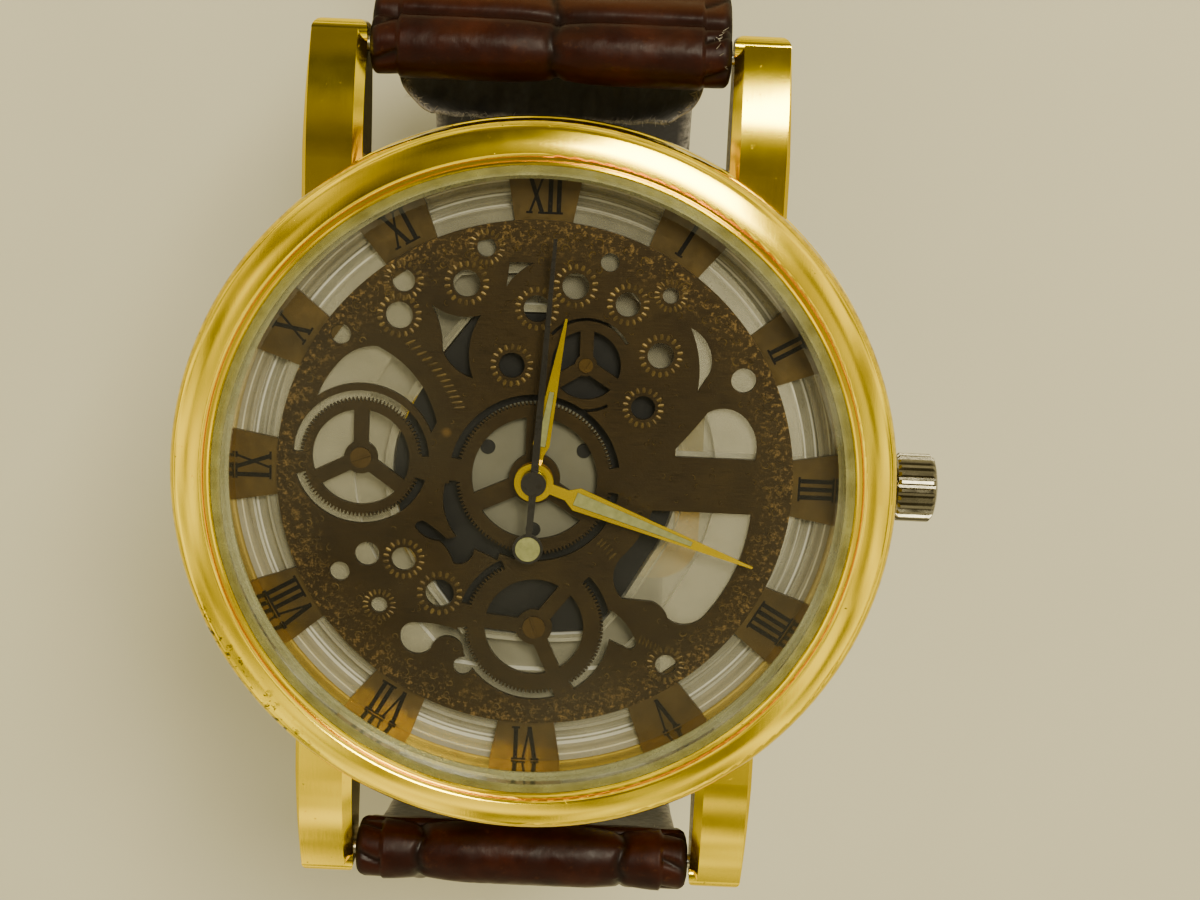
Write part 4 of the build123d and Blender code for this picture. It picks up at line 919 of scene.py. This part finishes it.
class Ornament:
    """Flat raised strokes on the dial plate, gathered into one mesh. Points are in mm."""

    def __init__(self):
        self.points = []
        self.faces = []

    def stroke(self, line, widths):
        """A tapering stroke with a ridge along its middle."""
        first = len(self.points)
        floor = DIAL_TOP / MM
        for index, (here, width) in enumerate(zip(line, widths)):
            before, after = line[max(index - 1, 0)], line[min(index + 1, len(line) - 1)]
            heading = math.atan2(after[1] - before[1], after[0] - before[0])
            side = (-math.sin(heading) * width / 2, math.cos(heading) * width / 2)
            for share, rise in ((-1, RAISE[0]), (0, RAISE[1]), (1, RAISE[0])):
                self.points.append((here[0] + side[0] * share, here[1] + side[1] * share, floor + rise))
        for index in range(len(line) - 1):
            a, b = first + 3 * index, first + 3 * index + 3
            self.faces.append((a, a + 1, b + 1, b))
            self.faces.append((a + 1, a + 2, b + 2, b + 1))
            self.faces.append((a, b, b + 2, a + 2))
        last = first + 3 * (len(line) - 1)
        self.faces.append((first, first + 2, first + 1))
        self.faces.append((last, last + 1, last + 2))

    def dash(self, centre, angle, length, width):
        """Short straight stroke."""
        step = (math.cos(angle) * length / 2, math.sin(angle) * length / 2)
        line = [(centre[0] + step[0] * t, centre[1] + step[1] * t) for t in (-1, -0.6, 0.6, 1)]
        self.stroke(line, (width * 0.4, width, width, width * 0.4))

    def dashed_ring(self, centre, inner, outer, count):
        """Ring of radial dashes."""
        for k in range(count):
            angle = 2 * math.pi * (k + 0.5) / count
            middle = (inner + outer) / 2
            spot = (centre[0] + middle * math.cos(angle), centre[1] + middle * math.sin(angle))
            self.dash(spot, angle, outer - inner, 2 * math.pi * middle / count * 0.5)

    def curl(self, centre, start, turn, size, width):
        """Spiral scroll that tightens to its end."""
        line, widths = [], []
        for k in range(15):
            t = k / 14
            angle = start + turn * t
            radius = size * (1 - 0.75 * t)
            line.append((centre[0] + radius * math.cos(angle), centre[1] + radius * math.sin(angle)))
            widths.append(width * (0.35 + 0.9 * math.sin(math.pi * (0.15 + 0.8 * t))))
        self.stroke(line, widths)


def on_plate(x, y, margin=0.12):
    """True where the dial plate has metal under a point, found by a ray from above."""
    plate = nodes["skeleton_plate"]
    for dx, dy in ((0, 0), (margin, 0), (-margin, 0), (0, margin), (0, -margin)):
        origin = Vector(((x + dx) * MM, (y + dy) * MM, DIAL_TOP + 0.001))
        hit, spot, normal, face = plate.ray_cast(origin, Vector((0, 0, -1)))
        if not hit or spot.z < DIAL_TOP - 1e-5:
            return False
    return True


def dial_ornament():
    """Dashed rings, rows of dashes and scrollwork, on the metal of the plate only."""
    ornament = Ornament()
    for x, y, radius in DASHED_HOLES:
        ornament.dashed_ring((x, y), radius + 0.16, radius + 0.5, 18)
    for k in range(13):
        t = k / 12
        spot = (-7.2 + 2.85 * t + 0.35 * math.sin(math.pi * t), 7.5 - 3.6 * t)
        ornament.dash(spot, math.radians(25 - 18 * t), 0.62, 0.13)
    for k in range(12):
        t = k / 11
        spot = (2.9 + 2.1 * t, -3.3 - 1.6 * t + 0.5 * math.sin(math.pi * t))
        if on_plate(*spot, 0.3):
            ornament.dash(spot, math.radians(60 - 20 * t), 0.55, 0.12)
    for k in range(10):
        t = k / 9
        spot = (6.0 + 1.9 * t, -9.0 - 1.0 * t)
        if on_plate(*spot, 0.3):
            ornament.dash(spot, math.radians(75), 0.5, 0.11)
    rng = random.Random(7)
    for ring_r, count, size in ((13.85, 66, 0.34), (13.15, 56, 0.30), (12.4, 48, 0.26)):
        for k in range(count):
            angle = 2 * math.pi * (k + rng.uniform(-0.2, 0.2)) / count
            x, y = ring_r * math.cos(angle), ring_r * math.sin(angle)
            if on_plate(x, y, size + 0.05):
                side = 1 if k % 2 else -1
                ornament.curl((x, y), angle + rng.uniform(0, 6.28), side * rng.uniform(3.0, 6.0),
                              size * rng.uniform(0.75, 1.05), 0.06)
    for k in range(420):
        radius, angle = 14.2 * math.sqrt(rng.random()), rng.uniform(0, 2 * math.pi)
        x, y = radius * math.cos(angle), radius * math.sin(angle)
        if radius > 5.2 and on_plate(x, y, 0.36):
            ornament.curl((x, y), rng.uniform(0, 6.28), rng.choice((-1, 1)) * rng.uniform(2.0, 4.5),
                          rng.uniform(0.12, 0.26), 0.042)
    piece = mesh_object("dial_ornament", ornament.points, ornament.faces)
    piece.data.shade_flat()
    return piece


# ---------------------------------------------------------------- dressing the frame
def dress(material, *names):
    """Give CAD nodes their finish."""
    for name in names:
        nodes[name].data.materials.clear()
        nodes[name].data.materials.append(material)


def place(piece, body, finish, *replaced):
    """Finish one Blender piece with the material of a (material, slot) pair, parent it to the body it rides
    on, and hide the CAD nodes that it stands for. The slot is not used.
    """
    material, slot = finish
    piece.data.materials.clear()
    piece.data.materials.append(material)
    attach(piece, body)
    if replaced:
        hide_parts(*replaced)


def dress_frame():
    """Finishes of every CAD node that stays in view."""
    dress(gold_plating("gold_case", 0.5), "mid_case", "rehaut_ring")
    dress(gold_plating("gold_bezel", 0.3, 0.15, True), "bezel")
    dress(gold_plating("gold_buckle", 0.8, 0.2), "buckle_frame", "buckle_tang")
    dress(gold_plating("gold_hands", 0.0, 0.22), "hour_hand", "minute_hand")
    dress(clear_crystal("crystal_glass"), "crystal", "caseback_glass")
    dress(pale_gasket("pale_gasket"), "crystal_gasket")
    dress(milky_acrylic("milky_acrylic"), "movement_holder")
    dress(bronze_dial("bronze_dial"), "skeleton_plate")
    dress(ochre_tabs("ochre_tabs"), "chapter_ring")
    dress(printed_ink("printed_ink"), "roman_numerals")
    dress(luminous_paint("luminous_paint"), "hour_lume", "minute_lume", "second_lume")
    dress(moulded_plastic("black_lacquer", (0.008, 0.007, 0.006), (0.02, 0.018, 0.016), 0.25, 0.3),
          "second_hand")
    dress(moulded_plastic("black_plastic", (0.004, 0.004, 0.004), (0.011, 0.011, 0.011)), "main_plate")
    dress(moulded_plastic("white_plastic", (0.105, 0.10, 0.07), (0.14, 0.135, 0.10)), "centre_disc")
    dress(moulded_plastic("black_rubber", (0.010, 0.010, 0.010), (0.03, 0.03, 0.03), 0.6), "caseback_gasket",
          "crown_o_ring")
    dress(moulded_plastic("epoxy", (0.010, 0.010, 0.011), (0.03, 0.03, 0.03), 0.3), "timing_chip")
    dress(polished_steel("crown_steel", (0.19, 0.172, 0.12), 0.2), "crown", "crown_tube")
    dress(turned_metal("caseback_steel", (0.60, 0.60, 0.59), (0, 0)), "caseback_ring")
    dress(polished_steel("bar_steel", (0.50, 0.50, 0.49), 0.28), "spring_bars", "buckle_bar",
          "plunger_12_left", "plunger_12_right", "plunger_6_left", "plunger_6_right")
    dress(polished_steel("bridge_steel", (0.55, 0.55, 0.54), 0.26, (1, 0.05, 1)), "train_bridge",
          "battery_clamp", "setting_lever", "stem", "sliding_pinion", "rotor_pinion", "cannon_pinion")
    low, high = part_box("battery")
    middle = (low + high) / 2 / MM
    dress(turned_metal("battery_steel", (0.66, 0.66, 0.64), (middle.x, middle.y)), "battery")
    dress(polished_steel("can_steel", (0.66, 0.65, 0.62), 0.18), "quartz_can", "movement_screws")
    dress(polished_steel("soft_iron", (0.42, 0.42, 0.42), 0.36, (0.05, 1, 1)), "stator", "coil_core")
    dress(turned_metal("wheel_brass", (0.70, 0.50, 0.20), (0, 0)), "seconds_wheel", "centre_wheel",
          "hour_wheel", "third_wheel", "intermediate_wheel", "minute_wheel")
    dress(turned_metal("screw_bronze", (0.085, 0.052, 0.016), (0, 0), 0.4), "dial_screws")
    dress(moulded_plastic("magnet", (0.05, 0.05, 0.055), (0.10, 0.10, 0.105), 0.35), "rotor_magnet")
    dress(copper_coil("copper_coil"), "coil")
    dress(circuit_laminate("circuit_laminate"), "circuit_board")


def add_strap():
    """Leather, lining, stitches, keepers and torn fibres, in the place of the plain strap solids."""
    leather = (crocodile_leather("crocodile_leather"), "leather_brown")
    lining = (lining_leather("lining_leather"), "leather_lining")
    thread = (sewing_thread("sewing_thread"), "leather_brown")
    short, long = leather_layer("strap_12_padded", "12"), leather_layer("strap_6_padded", "6")
    short_lining, long_lining = lining_layer("strap_12_inside", "12"), lining_layer("strap_6_inside", "6")
    end, along, outward = band_frame(HALVES["12"], reach(HALVES["12"]))
    for piece in (short, short_lining):
        cut(piece, box_cutter((-1.25, end[0] - 3, end[1] - 4), (1.25, end[0] + 2.4, end[1] + 4)))
    for piece in (long, long_lining):
        cut(piece, tang_holes())
    place(short, "strap_12", leather, "strap_12_leather")
    place(long, "strap_6", leather, "strap_6_leather")
    place(short_lining, "strap_12", lining, "strap_12_lining")
    place(long_lining, "strap_6", lining, "strap_6_lining")
    place(stitches("stitches_12", "12"), "strap_12", thread)
    place(stitches("stitches_6", "6"), "strap_6", thread)
    place(loop_keeper("keeper_by_buckle", "fixed_keeper"), "strap_12", leather, "fixed_keeper")
    place(loop_keeper("keeper_loose", "sliding_keeper"), "keeper", leather, "sliding_keeper")
    torn = moulded_plastic("torn_fibre", (0.22, 0.19, 0.15), (0.45, 0.41, 0.34), 0.8)
    fibre = (torn, "leather_lining")
    place(frayed_fibres("torn_fibres"), "strap_12", fibre)
    place(loose_lining_flap("loose_lining"), "strap_12", lining)
    place(fold_over_flap("folded_leather"), "strap_6", leather)
    rng = random.Random(5)
    place(fuzz("lining_fuzz", 3, lining_rim(rng), 0.45, 0.022), "strap_12", fibre)
    place(fuzz("fold_fuzz", 4, folded_end(rng), 0.4, 0.022), "strap_6", fibre)


# ---------------------------------------------------------------- stage
def add_floor():
    """Plain pale floor under the lowest point of the strap."""
    low = cad_box[0].z
    corners = [(x * FLOOR_HALF, y * FLOOR_HALF, low) for x, y in ((-1, -1), (1, -1), (1, 1), (-1, 1))]
    mesh = bpy.data.meshes.new("floor")
    mesh.from_pydata(corners, [], [(0, 1, 2, 3)])
    floor = new_object("floor", mesh)
    g = Graph("pale_floor")
    tone = g.mix(g.noise(14, 3), (0.60, 0.565, 0.42), (0.63, 0.595, 0.445))
    g.set(Base_Color=tone, Roughness=0.85)
    floor.data.materials.append(g.material)


def add_lights():
    """Warm room, dark overhead and towards 12 o'clock, with a window high beyond 1 o'clock."""
    world = bpy.data.worlds.new("room")
    world.use_nodes = True
    bpy.context.scene.world = world
    g = Nodes(world.node_tree)
    around = g.add("ShaderNodeTexCoord").outputs["Generated"]
    parts = g.add("ShaderNodeSeparateXYZ", {0: around}).outputs
    lowered = g.calc("MULTIPLY_ADD", g.calc("ABSOLUTE", parts["X"]), -0.4, parts["Z"])
    height = g.calc("MULTIPLY_ADD", parts["Y"], 0.45, lowered)
    colour = g.ramp(height, (0.0, (1.0, 0.90, 0.56)), (0.68, (0.92, 0.82, 0.50)), (0.80, (0.42, 0.37, 0.22)),
                    (0.92, (0.085, 0.072, 0.042)))
    patches = g.add("ShaderNodeTexNoise", {"Vector": around, "Scale": 5.5, "Detail": 3.0}).outputs[0]
    background = g.tree.nodes["Background"]
    g.feed(background.inputs[0], colour)
    g.feed(background.inputs[1], g.remap(patches, 0.36, 0.62, 0.18, 2.1))
    data = bpy.data.lights.new("window", "AREA")
    data.size = WINDOW_SIZE * MM
    data.energy = WINDOW_POWER
    data.color = (1.0, 0.94, 0.72)
    window = new_object("window", data)
    window.location = Vector(WINDOW_PLACE) * MM
    window.rotation_mode = "QUATERNION"
    window.rotation_quaternion = (-Vector(WINDOW_PLACE)).to_track_quat("-Z", "Y")


def add_camera():
    """Camera at the photograph's viewing angle, from the dial plate's frame."""
    turn = Matrix.Identity(3)
    for angle, axis in zip(CAMERA_TURNS, "XYZ"):
        turn = turn @ Matrix.Rotation(angle, 3, axis)
    outwards = turn.transposed()
    data = bpy.data.cameras.new("camera")
    data.lens = CAMERA_LENS
    data.sensor_width = 36.0
    data.clip_start = 0.005
    camera = new_object("camera", data)
    spot = outwards @ Vector(CAMERA_SHIFT) * MM + Vector((0, 0, DIAL_TOP))
    camera.matrix_world = Matrix.Translation(spot) @ outwards.to_4x4()
    bpy.context.scene.camera = camera


add_camera()
add_lights()
add_floor()
dress_frame()
add_strap()
place(dial_ornament(), "case", (engraving_gold("engraving_gold"), "bronze_plate"))
